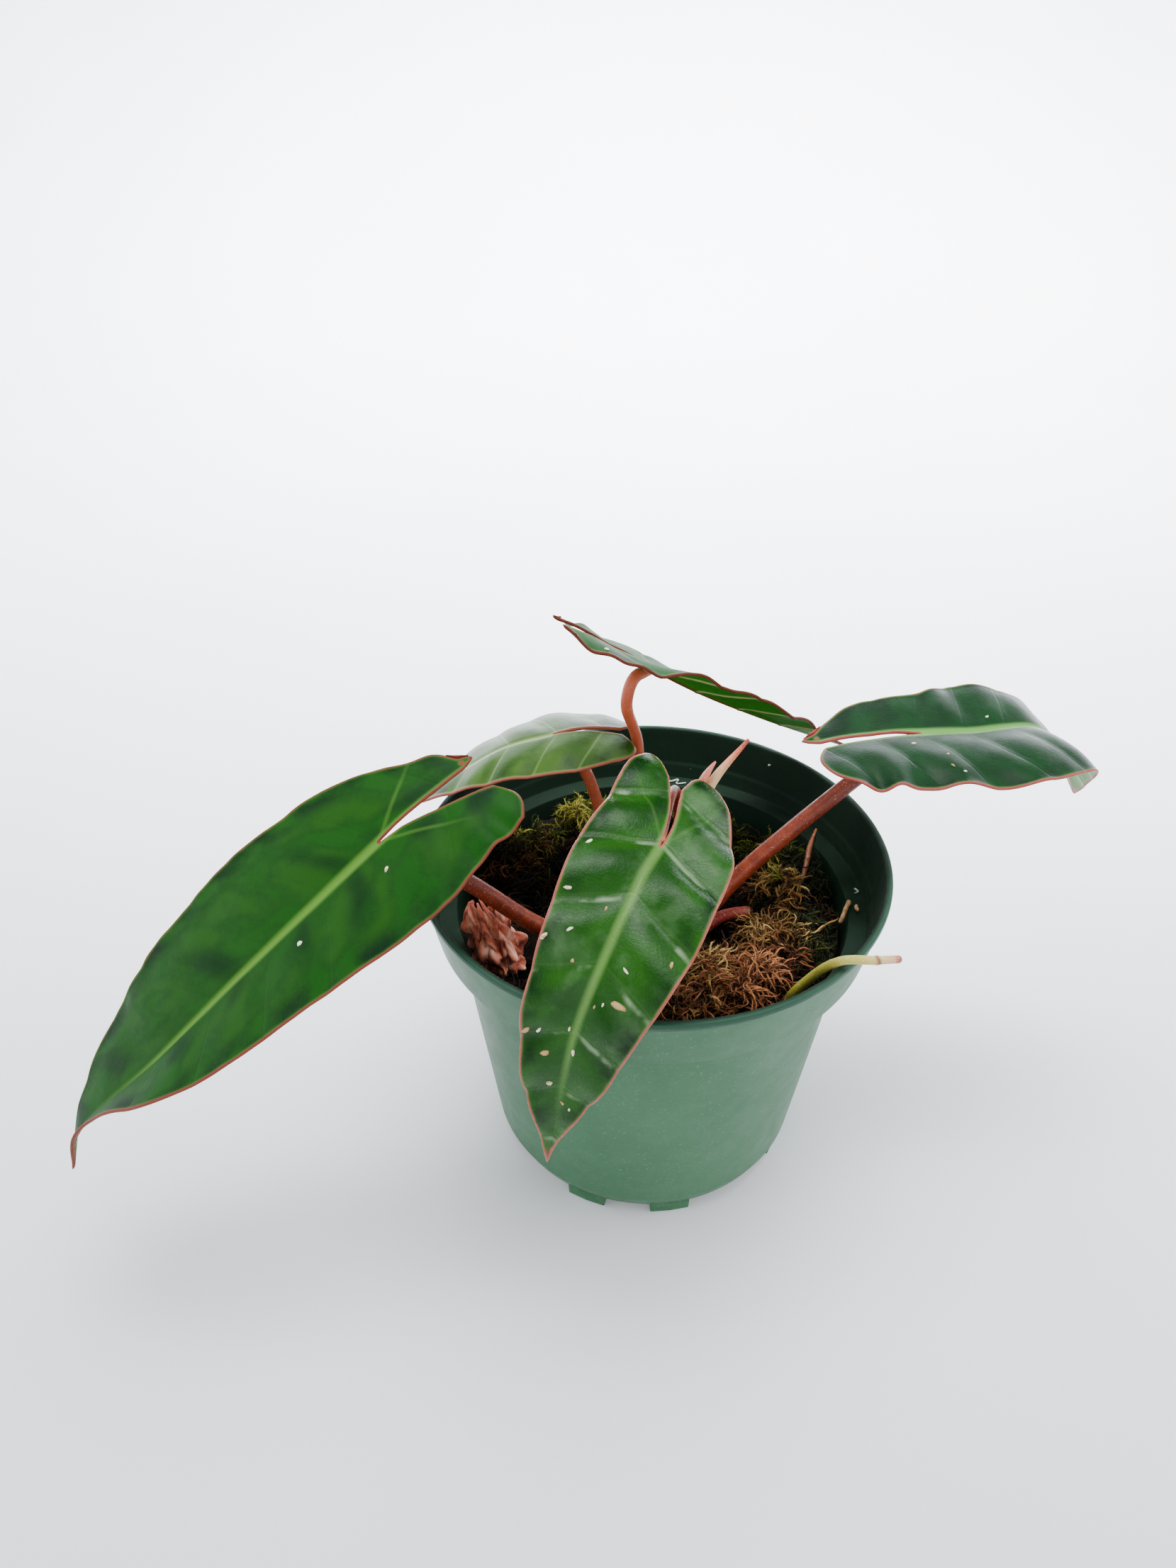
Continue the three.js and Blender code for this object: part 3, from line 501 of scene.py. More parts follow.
def pot_shell():
    """The turned shell from the outer edge of the floor over the lip and down inside, with what is inside and lip."""
    ledge_top = BAND_BOTTOM_Z + WALL
    outline = rounded([
        [FLOOR_EDGE_RADIUS, FOOT_HEIGHT],
        [BODY_BOTTOM_RADIUS - FLOOR_INSET, FOOT_HEIGHT],
        [wall_radius(FLOOR_CURVE_Z), FLOOR_CURVE_Z],
        [BODY_TOP_RADIUS - 0.4, BAND_BOTTOM_Z - 1],
        [BODY_TOP_RADIUS + 0.6, BAND_BOTTOM_Z],
        [BAND_BOTTOM_RADIUS, BAND_BOTTOM_Z],
        [LIP_RADIUS - 1.0, POT_HEIGHT - 3.2],
        [LIP_RADIUS - 0.7, POT_HEIGHT - 2.9],
        [LIP_RADIUS, POT_HEIGHT - 1.6],
        [LIP_RADIUS - 0.1, POT_HEIGHT],
        [LIP_INNER_RADIUS, POT_HEIGHT],
        [LIP_INNER_RADIUS - 0.4, POT_HEIGHT - 3],
        [BAND_BOTTOM_RADIUS + 0.4, ledge_top + 6],
        [BAND_BOTTOM_RADIUS - 0.2, ledge_top + 5],
        [BAND_BOTTOM_RADIUS - WALL, ledge_top],
        [BODY_TOP_RADIUS - WALL, ledge_top],
        [wall_radius(FLOOR_CURVE_Z) - WALL, FLOOR_CURVE_Z],
        [BODY_BOTTOM_RADIUS - FLOOR_INSET - WALL, FLOOR_TOP_Z],
        [INNER_FLOOR_RADIUS, FLOOR_TOP_Z],
    ], 0.5)
    rings = turned(outline)
    heights = outline[:, 1]
    inside = (np.arange(len(outline)) > np.argmax(heights)).astype(float)
    lip = np.clip((heights - (POT_HEIGHT - 3.6)) / 0.8, 0, 1)
    return rings, inside, lip


def pot_piece(finish):
    """The whole pot as one mesh: its shell, its floor round the drain holes, its feet and its pad."""
    rings, inside, lip = pot_shell()
    points = [rings.reshape(-1, 3)]
    faces = [grid_faces(len(rings), SEGMENTS, wrap=True)]
    inner = [np.repeat(inside, SEGMENTS)]
    lips = [np.repeat(lip, SEGMENTS)]
    count = len(points[0])

    def add(new_points, new_faces, is_inside=0.0):
        nonlocal count
        flat = new_points.reshape(-1, 3)
        points.append(flat)
        faces.extend(part + count for part in new_faces)
        inner.append(np.full(len(flat), is_inside))
        lips.append(np.zeros(len(flat)))
        count += len(flat)

    for sheet in floor_sectors():
        add(*sheet)
    for quarter in range(4):
        for centre in FOOT_CENTRES:
            add(*foot(math.radians(centre - 90 + 90 * quarter)))
    for cap in pad():
        add(*cap)
    return make_piece("pot_body", np.vstack(points), faces, finish, ["pot"],
                      {"inside": np.concatenate(inner), "lip": np.concatenate(lips)}, weld=True)


def floor_sectors():
    """The floor round its drain holes. Each sector's points run straight from its hole's edge to its own edge."""
    part = SEGMENTS // DRAIN_HOLES
    low_rings = []
    for face, height, rim in ((-1, FOOT_HEIGHT, FLOOR_EDGE_RADIUS), (1, FLOOR_TOP_Z, INNER_FLOOR_RADIUS)):
        for i in range(DRAIN_HOLES):
            middle = 2 * np.pi * (i + 0.5) / DRAIN_HOLES
            turn = np.linspace(-np.pi / DRAIN_HOLES, np.pi / DRAIN_HOLES, part + 1)
            side = np.linspace(PAD_TOP_RADIUS, rim, 13)
            radius = np.concatenate([np.full(part, rim), side[:0:-1], np.full(part, PAD_TOP_RADIUS), side[:-1]])
            angle = np.concatenate([turn[:-1], np.full(len(side) - 1, turn[-1]), turn[:0:-1],
                                    np.full(len(side) - 1, turn[0])]) + middle
            edge = polar(radius, angle)
            hole = polar(DRAIN_RING_RADIUS, middle)
            ring = hole + DRAIN_HOLE_RADIUS * unit(edge - hole)
            share = np.linspace(0, 1, 5)[:, None, None]
            flat = ring + (edge - ring) * share
            sheet = np.concatenate([flat, np.full(flat.shape[:2] + (1,), height)], -1)
            quads = grid_faces(len(share), len(edge), wrap=True)
            yield sheet, [quads[:, ::-1] if face > 0 else quads], float(face > 0)
            if face < 0:
                low_rings.append(sheet[0])
            else:
                yield np.stack([low_rings[i], sheet[0]]), [grid_faces(2, len(edge), wrap=True)[:, ::-1]], 0.0


def foot(middle):
    """A foot: a rounded four-sided section carried along an arc under the wall, closed at both ends."""
    outer = BODY_BOTTOM_RADIUS - 1.4
    inner = outer - FOOT_THICKNESS
    half = FOOT_SPAN / 2
    top = FOOT_HEIGHT + 0.5
    section = rounded([[inner, top], [inner + 0.3, 0], [outer - 0.2, 0], [outer + 0.2, top]], 0.5, steps=4)
    turn = middle + half * np.array([-1, -1, -0.985, -0.95, 0, 0.95, 0.985, 1, 1])
    pull = np.array([0, 0.88, 0.96, 1, 1, 1, 0.96, 0.88, 0])[:, None]
    centre = np.array([(outer + inner) / 2, FOOT_HEIGHT / 2 + 0.3])
    radius = centre[0] + (section[:, 0] - centre[0]) * pull
    height = centre[1] + (section[:, 1] - centre[1]) * pull
    arc = polar(radius, turn[:, None], height)
    return arc, [grid_faces(len(arc), len(section), wrap=True)[:, ::-1]]


def pad():
    """The pad under the middle and its hollow top, as two discs with a wall, each closed at its pole."""
    below = rounded([[PAD_TOP_RADIUS, FOOT_HEIGHT], [PAD_RADIUS - 0.5, 0], [0.5, 0]], 0.5)
    above = np.array([[PAD_TOP_RADIUS, FLOOR_TOP_Z], [0.5, FLOOR_TOP_Z]])
    for profile, inside in ((below, 0.0), (above, 1.0)):
        rings = turned(profile)
        quads = grid_faces(len(rings), SEGMENTS, wrap=True)
        last = (len(rings) - 1) * SEGMENTS + np.arange(SEGMENTS)
        cap = fan_faces(len(rings) * SEGMENTS, last, outward=bool(inside))
        flat = np.vstack([rings.reshape(-1, 3), [[0, 0, profile[-1, 1]]]])
        yield flat, [quads if inside else quads[:, ::-1], cap], inside


# Leaves: the CAD's numbers in millimetres and degrees. Left and right are the leaf's own, seen from above
# with its tip pointing away.

CROWN_HEART = (2, -12, 82)
CROWN_RADIUS = 10
CROWN_FOOT_Z = 66
CROWN_TOP_Z = 95
PATH_STEPS = 400
BLADE_THICKNESS = 0.7
RIB_HEIGHT = 0.8
RIB_WIDTH = 1.7
HANDS = {1: "right", -1: "left"}
QUILT_FULL_ACROSS = 9
WAVE_UNIT_ACROSS = 20
ROWS_PER_STATION = 13
LOBE_ROUND_STATIONS = 3
RIB_COLUMNS = np.array([0, 0.012, 0.026, 0.042, 0.062, 0.09])
MARGIN_COLUMNS = np.array([0.955, 0.975, 0.987, 0.995, 1])
COLUMNS = np.concatenate([RIB_COLUMNS, np.linspace(0.125, 0.925, 26), MARGIN_COLUMNS])

PLAIN_LEAF = dict(up=(0, 0, 1), roll=[(0, 0)], lobe_turn=0.01, lean=0.5, rise_right=[(0, 8)], rise_left=[(0, 8)],
                  curl_right=[(0, -0.6)], curl_left=[(0, -0.6)])
TALL_MARGIN = [(4, 20), (16, 21), (29, 20.5), (42, 19), (55, 16), (67, 12), (78, 7), (88, 2.5), (99, 0)]

LEAVES = {
    "left": dict(
        spine=[(-80, -34, 143), (-99.5, -49, 128), (-120.5, -62, 110), (-144, -74, 88), (-168, -81.5, 66),
               (-176, -81.5, 45)],
        roll=[(0, 16), (60, 16), (110, 8), (150, 0)], lobe_round=4, lobe_bend=-0.55,
        rise_right=[(0, 8)], rise_left=[(0, 8), (60, 14), (100, 30), (150, 30)],
        curl_right=[(0, -0.6), (100, -0.2)],
        quilt=0.6, pitch=23, lean=0.55, wave=0.1, wave_length=40, frill=0.7,
        stations=[0, 12, 28, 46, 66, 86, 104, 120, 134, 150],
        lobe_right=[(-33.5, 1, -34, 5), (-24, 0.6, -29, 11), (-15, 0.5, -20, 15), (-7, 0.4, -10, 21.5)],
        margin_right=[(3, 27), (16, 30), (38, 33), (60, 32), (82, 30.5), (102, 27), (115, 20.5), (126, 11),
                      (136, 2.6), (150, 0)],
        lobe_left=[(-36, 10, -35.5, 25), (-28, 7.5, -27, 26.5), (-18, 4.5, -17, 28), (-8, 1.2, -6, 30)],
        margin_left=[(6, 30), (20, 28.5), (38, 26), (58, 24), (78, 22.5), (95, 18.5), (108, 11), (120, 5),
                     (134, 1.5), (150, 0)],
        stalk=[CROWN_HEART, (-14, -17, 91), (-34, -23, 103), (-57, -29, 126), (-80, -34, 143)],
        radii=[(0, 3.1), (0.9, 2.6), (1, 2)]),
    "front": dict(
        spine=[(2, -38, 150), (-4, -54, 148), (-13, -75, 136), (-19.6, -82.5, 116), (-25, -84, 80), (-27, -84, 66)],
        up=(0, -0.6, 0.8), lobe_round=3, lobe_bend=-0.3, lobe_turn=0.9,
        quilt=2.7, pitch=21, wave=0.6, wave_length=30, frill=0.3,
        stations=[0, 10, 22, 34, 46, 58, 70, 84, 98, 108, 116.5],
        lobe_right=[(-33, 4.6, -31.5, 12), (-28, 2.4, -25, 16.5), (-19, 1.5, -15, 19.5), (-9, 0.8, -5, 20.3)],
        margin_right=[(4, 20.9), (14, 21.2), (26, 20), (38, 18.5), (50, 17.2), (62, 15.4), (74, 13.4), (87, 10.5),
                      (99, 5.8), (108, 2.8), (116.5, 0)],
        lobe_left=[(-30, 5, -29.5, 14.5), (-25, 1.5, -22, 16.5), (-17, 0.6, -13, 18.5), (-8, 0.4, -5, 21)],
        margin_left=[(3, 22), (14, 22.4), (26, 22.4), (38, 21), (50, 18.5), (62, 16), (74, 13.4), (87, 9),
                     (98, 4.6), (108, 1.4), (116.5, 0)],
        stalk=[CROWN_HEART, (8, -2, 98), (8, 8, 122), (5.5, -4, 145), (2, -38, 150)],
        radii=[(0, 2.5), (0.55, 1.7), (0.8, 1.3), (1, 1.0)]),
    "backLeft": dict(
        spine=[(-34, 20, 148), (-50, 18.5, 143), (-63, 18, 134.5), (-75, 17.5, 126), (-85, 17, 119)],
        lobe_round=5, lobe_bend=-1.3,
        rise_right=[(-22, -10), (0, -2)], rise_left=[(0, 5)], curl_right=[(0, -1.2)], curl_left=[(0, -1.2)],
        quilt=0.7, pitch=16, wave=0.5, wave_length=26, frill=0.5,
        stations=[0, 10, 20, 30, 39, 47, 54, 59.3],
        lobe_right=[(-22, 1.5, -21, 14), (-15, 1, -14, 19), (-7, 0.6, -5, 21)],
        margin_right=[(3, 21), (12, 20.5), (22, 19), (33, 16), (42, 12), (50, 8), (56, 4), (59.3, 0)],
        lobe_left=[(-22.5, 2.5, -21.5, 16), (-14, 1.5, -13, 19.5), (-6, 0.8, -4, 19.8)],
        margin_left=[(3, 19.5), (12, 18.5), (22, 16), (33, 12.5), (42, 9), (50, 5.5), (56, 2.5), (59.3, 0)],
        stalk=[CROWN_HEART, (-9, -2, 94), (-16.5, 18, 111), (-24.5, 22, 134), (-34, 20, 148)],
        radii=[(0, 2.4), (0.9, 1.9), (1, 1.5)]),
    "backTall": dict(
        spine=[(-2, 25, 171), (15, 35, 156.5), (36, 46, 141.5), (54.5, 57, 128.5), (70, 67, 117.5)],
        up=(0.3, 0.47, 0.83), lobe_round=4, lobe_bend=0.05,
        rise_right=[(-38, -20), (-16, -10), (-2, 8), (30, 16), (90, 12)], rise_left=[(-35, 6), (0, 12), (90, 12)],
        curl_right=[(0, -0.2)], curl_left=[(0, -0.2)],
        quilt=1.2, pitch=20, wave=0.6, wave_length=27, frill=1.1,
        stations=[0, 12, 24, 36, 48, 60, 72, 84, 99],
        lobe_right=[(-39, 3, -40, 9), (-30, 2, -31, 14), (-19, 1.5, -18, 17), (-8, 1, -6, 19)],
        margin_right=TALL_MARGIN,
        lobe_left=[(-34, 6, -35, 10), (-26, 4, -27, 14.5), (-17, 2.5, -16, 17.5), (-8, 1, -6, 19)],
        margin_left=TALL_MARGIN,
        stalk=[CROWN_HEART, (-4, 1, 104), (-6.5, 20, 144), (-10.5, 13.5, 165), (-8.5, 15.5, 172.5), (-2, 25, 171)],
        radii=[(0, 2.4), (0.6, 1.7), (0.93, 2), (1, 1.4)]),
    "right": dict(
        spine=[(84, 28, 149), (103, 34, 147), (125, 44, 143.5), (138, 50, 131), (149, 53.5, 110)],
        lobe_round=5, lobe_bend=-0.3,
        rise_right=[(0, 14), (40, 14), (88, 4)], rise_left=[(-34, 6), (0, 17), (50, 15), (88, 4)],
        curl_right=[(0, -1)],
        quilt=0.7, pitch=17, lean=0.4, wave=0.4, wave_length=24, frill=0.7,
        stations=[0, 12, 24, 36, 48, 58, 68, 78, 87],
        lobe_right=[(-34, 2, -33, 22), (-25, 1.6, -27, 27), (-15, 1, -15, 29), (-7, 0.6, -5, 29.8)],
        margin_right=[(4, 30), (16, 31), (27, 31), (39, 29), (50, 26), (60, 21), (70, 14), (79, 7), (87, 0)],
        lobe_left=[(-34, 1.5, -34.5, 6), (-26, 1.5, -27.5, 12), (-17, 1.2, -17, 17), (-8, 1, -7, 18.5)],
        margin_left=[(4, 19), (14, 22), (25, 24), (36, 22), (47, 19), (57, 16.5), (67, 12.5), (77, 7), (87, 0)],
        stalk=[CROWN_HEART, (13, -6, 91), (27, 3, 105), (45, 12, 120), (66, 21, 136.5), (84, 28, 149)],
        radii=[(0, 3.2), (0.9, 2.5), (1, 2)]),
}
LEAVES = {name: PLAIN_LEAF | shape for name, shape in LEAVES.items()}


class Blade:
    """A leaf blade. A place on it is given by its distance along the midrib from the notch, negative on the two
    back lobes, and its distance across, measured on the blade from the midrib, on the hand +1 right or -1 left."""

    def __init__(self, shape):
        self.shape = shape
        self.line = catmull_rom(shape["spine"], np.linspace(0, len(shape["spine"]) - 1, 601))
        steps = np.linalg.norm(np.diff(self.line, axis=0), axis=1)
        self.arc = np.concatenate([[0], np.cumsum(steps)])
        self.length = self.arc[-1]

    def spine(self, along):
        """The midrib's point at a length along it, in millimetres."""
        where = np.clip(along, 0, self.length)
        return between(where, self.arc, self.line)

    def table(self, key, along):
        """A table's reading, averaged over a few millimetres so that no crease shows at its rows."""
        return sum(read(self.shape[key], along + shift) for shift in (-6, -3, 0, 3, 6)) / 5

    def frame(self, along):
        """The midrib's point, side and normal. The back part bends down and turns by an angle per millimetre."""
        base = np.clip(along, 0, self.length)
        tangent = unit(self.spine(base + 1.2) - self.spine(base - 1.2))
        side = unit(np.cross(tangent, self.shape["up"]))
        normal = np.cross(side, tangent)
        roll = np.radians(self.table("roll", along))[..., None]
        side, normal = side * np.cos(roll) + normal * np.sin(roll), normal * np.cos(roll) - side * np.sin(roll)
        back = np.minimum(along, 0)[..., None]
        bend, turn = math.radians(self.shape["lobe_bend"]), math.radians(self.shape["lobe_turn"])
        point = (self.spine(base) + tangent * np.sin(bend * back) / bend
                 + normal * (1 - np.cos(bend * back)) / bend + side * (1 - np.cos(turn * back)) / turn)
        normal = normal * np.cos(bend * back) - tangent * np.sin(bend * back)
        return point, side, normal

    def place(self, along, across, hand):
        """Each half rises from the midrib by an angle and curls by an angle per millimetre. It swells between its
        side veins, which lie where along - lean x across is a whole number of pitches, and waves at its margin,
        with short waves on the ends of the lobes."""
        point, side, normal = self.frame(along)
        rise, curl = (np.radians(self.table(key + HANDS[hand], along)) for key in ("rise_", "curl_"))
        out = (np.sin(rise + curl * across) - np.sin(rise)) / curl
        up = (np.cos(rise) - np.cos(rise + curl * across)) / curl
        spread = np.clip(across / QUILT_FULL_ACROSS, 0, 1)
        far = (across / WAVE_UNIT_ACROSS) ** 2
        phase = (along - self.shape["lean"] * across) / self.shape["pitch"]
        vein = np.sqrt(np.sin(np.pi * phase) ** 2 + 0.004)
        up = up + self.shape["quilt"] * spread * (vein - 0.5)
        swing = np.sin(2 * np.pi * along / self.shape["wave_length"] + hand)
        up = up + self.shape["wave"] * far * swing
        frill = np.clip((-10 - along) / 14, 0, 1) * np.sin(2 * np.pi * along / 13 + 2 * hand + 0.09 * across)
        up = up + self.shape["frill"] * far * frill
        flat = np.stack([along, across * hand], -1)
        up = up + 0.18 * spread * wander(flat, 11, 26, 2) + 0.15 * far * wander(flat, 12, 16, 2)
        return point + side * (hand * out)[..., None] + normal * up[..., None]

    def grid(self, hand):
        """Distances along and across for rows from the lobe's end to the tip and columns from midrib to margin."""
        lobe, margin = self.shape["lobe_" + HANDS[hand]], self.shape["margin_" + HANDS[hand]]
        coarse = np.array(lobe + [(s, 0) + row for s, row in zip(self.shape["stations"], margin)], float)
        t = np.linspace(0, len(coarse) - 1, (len(coarse) - 1) * ROWS_PER_STATION + 1)
        inner = between(t, np.arange(len(coarse)), coarse[:, :2])
        outer = catmull_rom(coarse, t)[:, 2:]
        outer[:, 1] = np.maximum(outer[:, 1], inner[:, 1])
        cells = inner[:, None] + (outer - inner)[:, None] * COLUMNS[:, None]
        bulge = self.shape["lobe_round"] * np.clip(1 - t / LOBE_ROUND_STATIONS, 0, 1) ** 2
        return np.minimum(cells[..., 0], self.length) - bulge[:, None] * np.sin(np.pi * COLUMNS), cells[..., 1]

    def edge_distance(self, along, across):
        """Distance on the blade to its margin: the least distance to the points of the outline, which are the
        last column, the first row and the part of the first column that lies on the lobe."""
        rows = np.stack([along, across], -1)
        lobe = along[:, 0] < 1e-6
        outline = np.concatenate([rows[:, -1], rows[0], rows[lobe, 0]])
        near = np.linalg.norm(outline[1:] - outline[:-1], axis=1) < 6
        dense = np.concatenate([outline, (outline[:-1] + outline[1:])[near] / 2])
        flat = rows.reshape(-1, 1, 2)
        best = np.full(len(flat), 1e9)
        for start in range(0, len(dense), 64):
            best = np.minimum(best, np.linalg.norm(flat - dense[start:start + 64], axis=-1).min(1))
        return best.reshape(along.shape)

    def skin(self):
        """Both faces of the blade. The lower face lies a thickness below the upper: thin, thicker along the
        midrib as a ridge, a little proud along each vein, and rounded off to nothing at the margin."""
        sheets = {}
        for hand in (1, -1):
            along, across = self.grid(hand)
            surface = self.place(along, across, hand)
            normal = unit(np.cross(np.gradient(surface, axis=1), np.gradient(surface, axis=0)) * hand)
            normal[-1] = normal[-2]
            sheets[hand] = [along, across, surface, normal, self.edge_distance(along, across)]
        first = {hand: int(np.argmax(sheets[hand][0][:, 0] >= 0)) for hand in (1, -1)}
        shared = unit(sheets[1][3][first[1]:, 0] + sheets[-1][3][first[-1]:, 0])
        rib_edge = np.minimum(sheets[1][4][first[1]:, 0], sheets[-1][4][first[-1]:, 0])
        points, faces, values = [], [], {"along": [], "across": [], "edge": [], "top": [], "hand": []}
        count = 0
        for hand in (1, -1):
            along, across, surface, normal, edge = sheets[hand]
            normal[first[hand]:, 0] = shared
            edge[first[hand]:, 0] = rib_edge
            edge_round = np.sqrt(np.clip(1 - (1 - np.clip(edge / 0.5, 0, 1)) ** 2, 0, 1))
            fade = np.where(along < 0, 0.5, 1 - along / (self.length * 1.1))
            phase = (along - self.shape["lean"] * across) / self.shape["pitch"]
            off_vein = np.abs(phase - np.round(phase)) * self.shape["pitch"]
            ridge = RIB_HEIGHT * fade * np.exp(-((across / RIB_WIDTH) ** 2))
            ridge = ridge + 0.18 * np.exp(-((off_vein / 0.7) ** 2)) * np.clip(edge / 6, 0, 1)
            bead = 0.16 * np.exp(-(((edge - 0.5) / 0.5) ** 2))
            groove = 0.25 * fade * np.exp(-((across / 1.1) ** 2))
            half = edge_round * (0.5 * BLADE_THICKNESS)
            middle = surface - normal * (0.5 * BLADE_THICKNESS)
            upper = middle + normal * (half + (bead - groove) * edge_round)[..., None]
            lower = middle - normal * (half + (ridge + bead) * edge_round)[..., None]
            quads = grid_faces(*along.shape)
            for sheet, part, top in ((upper, quads[:, ::-1], 1.0), (lower, quads, 0.0)):
                points.append(sheet.reshape(-1, 3))
                faces.append((part[:, ::-1] if hand > 0 else part) + count)
                count += along.size
                for key, numbers in (("along", along), ("across", across), ("edge", edge),
                                     ("top", np.full(along.shape, top)), ("hand", np.full(along.shape, hand))):
                    values[key].append(numbers.ravel())
        return np.vstack(points), faces, {key: np.concatenate(parts) for key, parts in values.items()}


# Stalks, roots and small plant pieces


FLECKS = {
    "front": ((11, 17.7, 2.6, 1.1, 20), (26.2, 16.8, 2.4, 1.0, 70), (27.2, 5, 1.6, 0.7, 0), (36.7, 11.3, 2, 0.8, 40),
              (40.9, 17, 2.6, 1.2, 30), (43.7, 7.5, 1.2, 1.0, 0), (40.7, -6.7, 2.2, 0.7, 60),
              (34.7, -17.1, 2.2, 0.9, 10), (49.6, -8.5, 4.6, 1.7, 85), (50.9, -4.6, 1.2, 0.6, 0),
              (52.5, -2.7, 1.1, 0.6, 0), (65.5, 9.6, 2.4, 0.9, 20), (62, 1.7, 1.7, 0.7, 0),
              (71.4, 6.4, 2.6, 1.6, 60), (69, -1, 2.2, 1, 10), (82.4, 3.6, 2.2, 1.8, 0), (89, -1, 1.6, 0.9, 45),
              (90.4, -3.3, 1.2, 0.7, 0), (66.6, 13, 3.4, 1.6, 30)),
    "left": ((35.4, -7.4, 1.8, 1.5, 0), (3.6, -8.9, 2, 1.1, 30)),
    "right": ((27.9, -5.4, 1.5, 0.8, 20), (-6.3, 7.8, 1.7, 1.2, 0), (0.2, 21.6, 1.6, 0.6, 60),
              (3.3, 24.6, 1.3, 0.7, 10), (1.6, 15.6, 1.3, 0.6, 0)),
    "backTall": ((-29, 11, 1.8, 1.3, 0),),
}


def flecks(blades, finish):
    """Dried specks on the leaves, a row each of along, across, length, width and turn: an oval rim on the blade
    with a low dome over it and a point under it."""
    points, faces, tones = [], [], []
    sides = 14
    ring, inner = turns(sides), np.arange(sides)
    outer, step, crest = inner + sides, np.roll(inner, -1), np.full(sides, 2 * sides)
    band = np.stack([inner, outer, outer[step], step], -1)
    shell = [band, np.stack([inner, step, crest], -1), np.stack([outer[step], outer, crest + 1], -1)]
    for name, rows in FLECKS.items():
        for number, (along, across, long, wide, turn) in enumerate(rows):
            uneven = 1 + 0.07 * np.sin(3 * ring + number) + 0.05 * np.sin(5 * ring + 2 * number)
            reach = np.concatenate([[0.55 * uneven, uneven]]) * 0.5
            a, b = reach * long * np.cos(ring), reach * wide * np.sin(ring)
            c, d = math.cos(math.radians(turn)), math.sin(math.radians(turn))
            where = np.concatenate([(a * c - b * d).ravel(), [0, 0]]) + along
            aside = np.maximum(np.concatenate([(a * d + b * c).ravel(), [0, 0]]) + abs(across), 0.05)
            hand = 1 if across > 0 else -1
            surface = blades[name].place(where, aside, hand)
            normal = unit(np.cross(surface[sides + 3] - surface[sides], surface[sides + 7] - surface[sides]))
            normal = normal * np.sign(normal @ blades[name].frame(np.array([along]))[2][0])
            lift = np.concatenate([np.full(sides, 0.3), np.full(sides, 0.03), [0.36, -0.25]])
            fleck = surface + lift[:, None] * normal
            flip = np.cross(fleck[0] - fleck[2 * sides], fleck[1] - fleck[2 * sides]) @ normal < 0
            faces.extend((part[:, ::-1] if flip else part) + len(fleck) * len(tones) for part in shell)
            points.append(fleck)
            tones.append(np.full(len(fleck), (0.37 * number) % 1))
    make_piece("leaf_flecks", np.vstack(points), faces, finish, (), {"tone": np.concatenate(tones)})


def tube(path, radius, sides=20):
    """A closed round tube: each path point carries a ring at its radius, in the plane across the path."""
    tangent = unit(np.gradient(path, axis=0))
    chord = path[-1] - path[0]
    reference = np.array([-chord[1], chord[0], 0.001])
    side = unit(reference - tangent * (tangent @ reference)[:, None])
    front = np.cross(tangent, side)
    radius = np.broadcast_to(np.asarray(radius, float).reshape(len(path), -1), (len(path), sides))
    rings = round_about(path[:, None], side[:, None], front[:, None], radius, turns(sides))
    return capped(rings, path[0], path[-1])


def domed(share, length, radius):
    """A factor for the radius along a stalk: 1, and a quarter circle down to nearly 0 at both ends."""
    along = share * length
    ends = (1 - np.clip(1 - reach / radius, 0, 0.998) ** 2 for reach in (along, length - along))
    return np.prod([np.sqrt(np.clip(end, 0, 1)) for end in ends], axis=0)


def dome_shares(count, length, radius):
    """Shares of the length at which rings stand: even, with extra rings close to both ends."""
    near = radius / length * (1 - np.cos(np.linspace(0, np.pi / 2, 6)))
    return np.unique(np.concatenate([near, np.linspace(near[-1], 1 - near[-1], count), 1 - near]))


def stalk(points, radii, seed, count=70, sides=20, keep=1.0, ripple=0.03, ribs=0.0):
    """A tube along the smooth path through points, its radius read from the table, with long low ripples and
    shallow grooves that run along it."""
    path = smooth_path(points, PATH_STEPS, (0, keep))
    length = np.linalg.norm(np.diff(path, axis=0), axis=1).sum()
    end_radius = read(radii, keep)
    share = dome_shares(count, length, end_radius)
    path = between(share * (PATH_STEPS - 1), np.arange(PATH_STEPS), path)
    radius = read(radii, share * keep) * domed(share, length, end_radius)
    angle = turns(sides)
    where = np.stack(np.broadcast_arrays(share[:, None] * length, 9 * np.cos(angle), 9 * np.sin(angle)), -1)
    swell = 1 + ripple * wander(where, seed, 22, 3) + ribs * np.cos(5 * angle + share[:, None])
    solid, faces = tube(path, radius[:, None] * swell, sides)
    return solid, faces, {"along": np.concatenate([np.repeat(share, sides), [0, 1]])}


def stalk_piece(name, finish, slot, nodes, *place, **form):
    """A stalk made into a piece. Its points, radii, seed and form are those that stalk() takes."""
    points, faces, values = stalk(*place, **form)
    make_piece(name, points, faces, finish, nodes, values)


def thin_sheet(surface, thickness):
    """A closed sheet: the grid's upper face, a lower face one thickness below it along its normals, and a rim."""
    rows, columns = surface.shape[:2]
    normal = unit(np.cross(np.gradient(surface, axis=1), np.gradient(surface, axis=0)))
    upper = surface.reshape(-1, 3)
    lower = (surface - normal * thickness).reshape(-1, 3)
    quads = grid_faces(rows, columns)
    number = np.arange(rows * columns).reshape(rows, columns)
    loop = np.concatenate([number[0, :-1], number[:-1, -1], number[-1, :0:-1], number[:0:-1, 0]])
    following = np.roll(loop, -1)
    count = rows * columns
    rim = np.stack([loop, following, following + count, loop + count], -1)
    return np.vstack([upper, lower]), [quads, quads[:, ::-1] + count, rim[:, ::-1]]


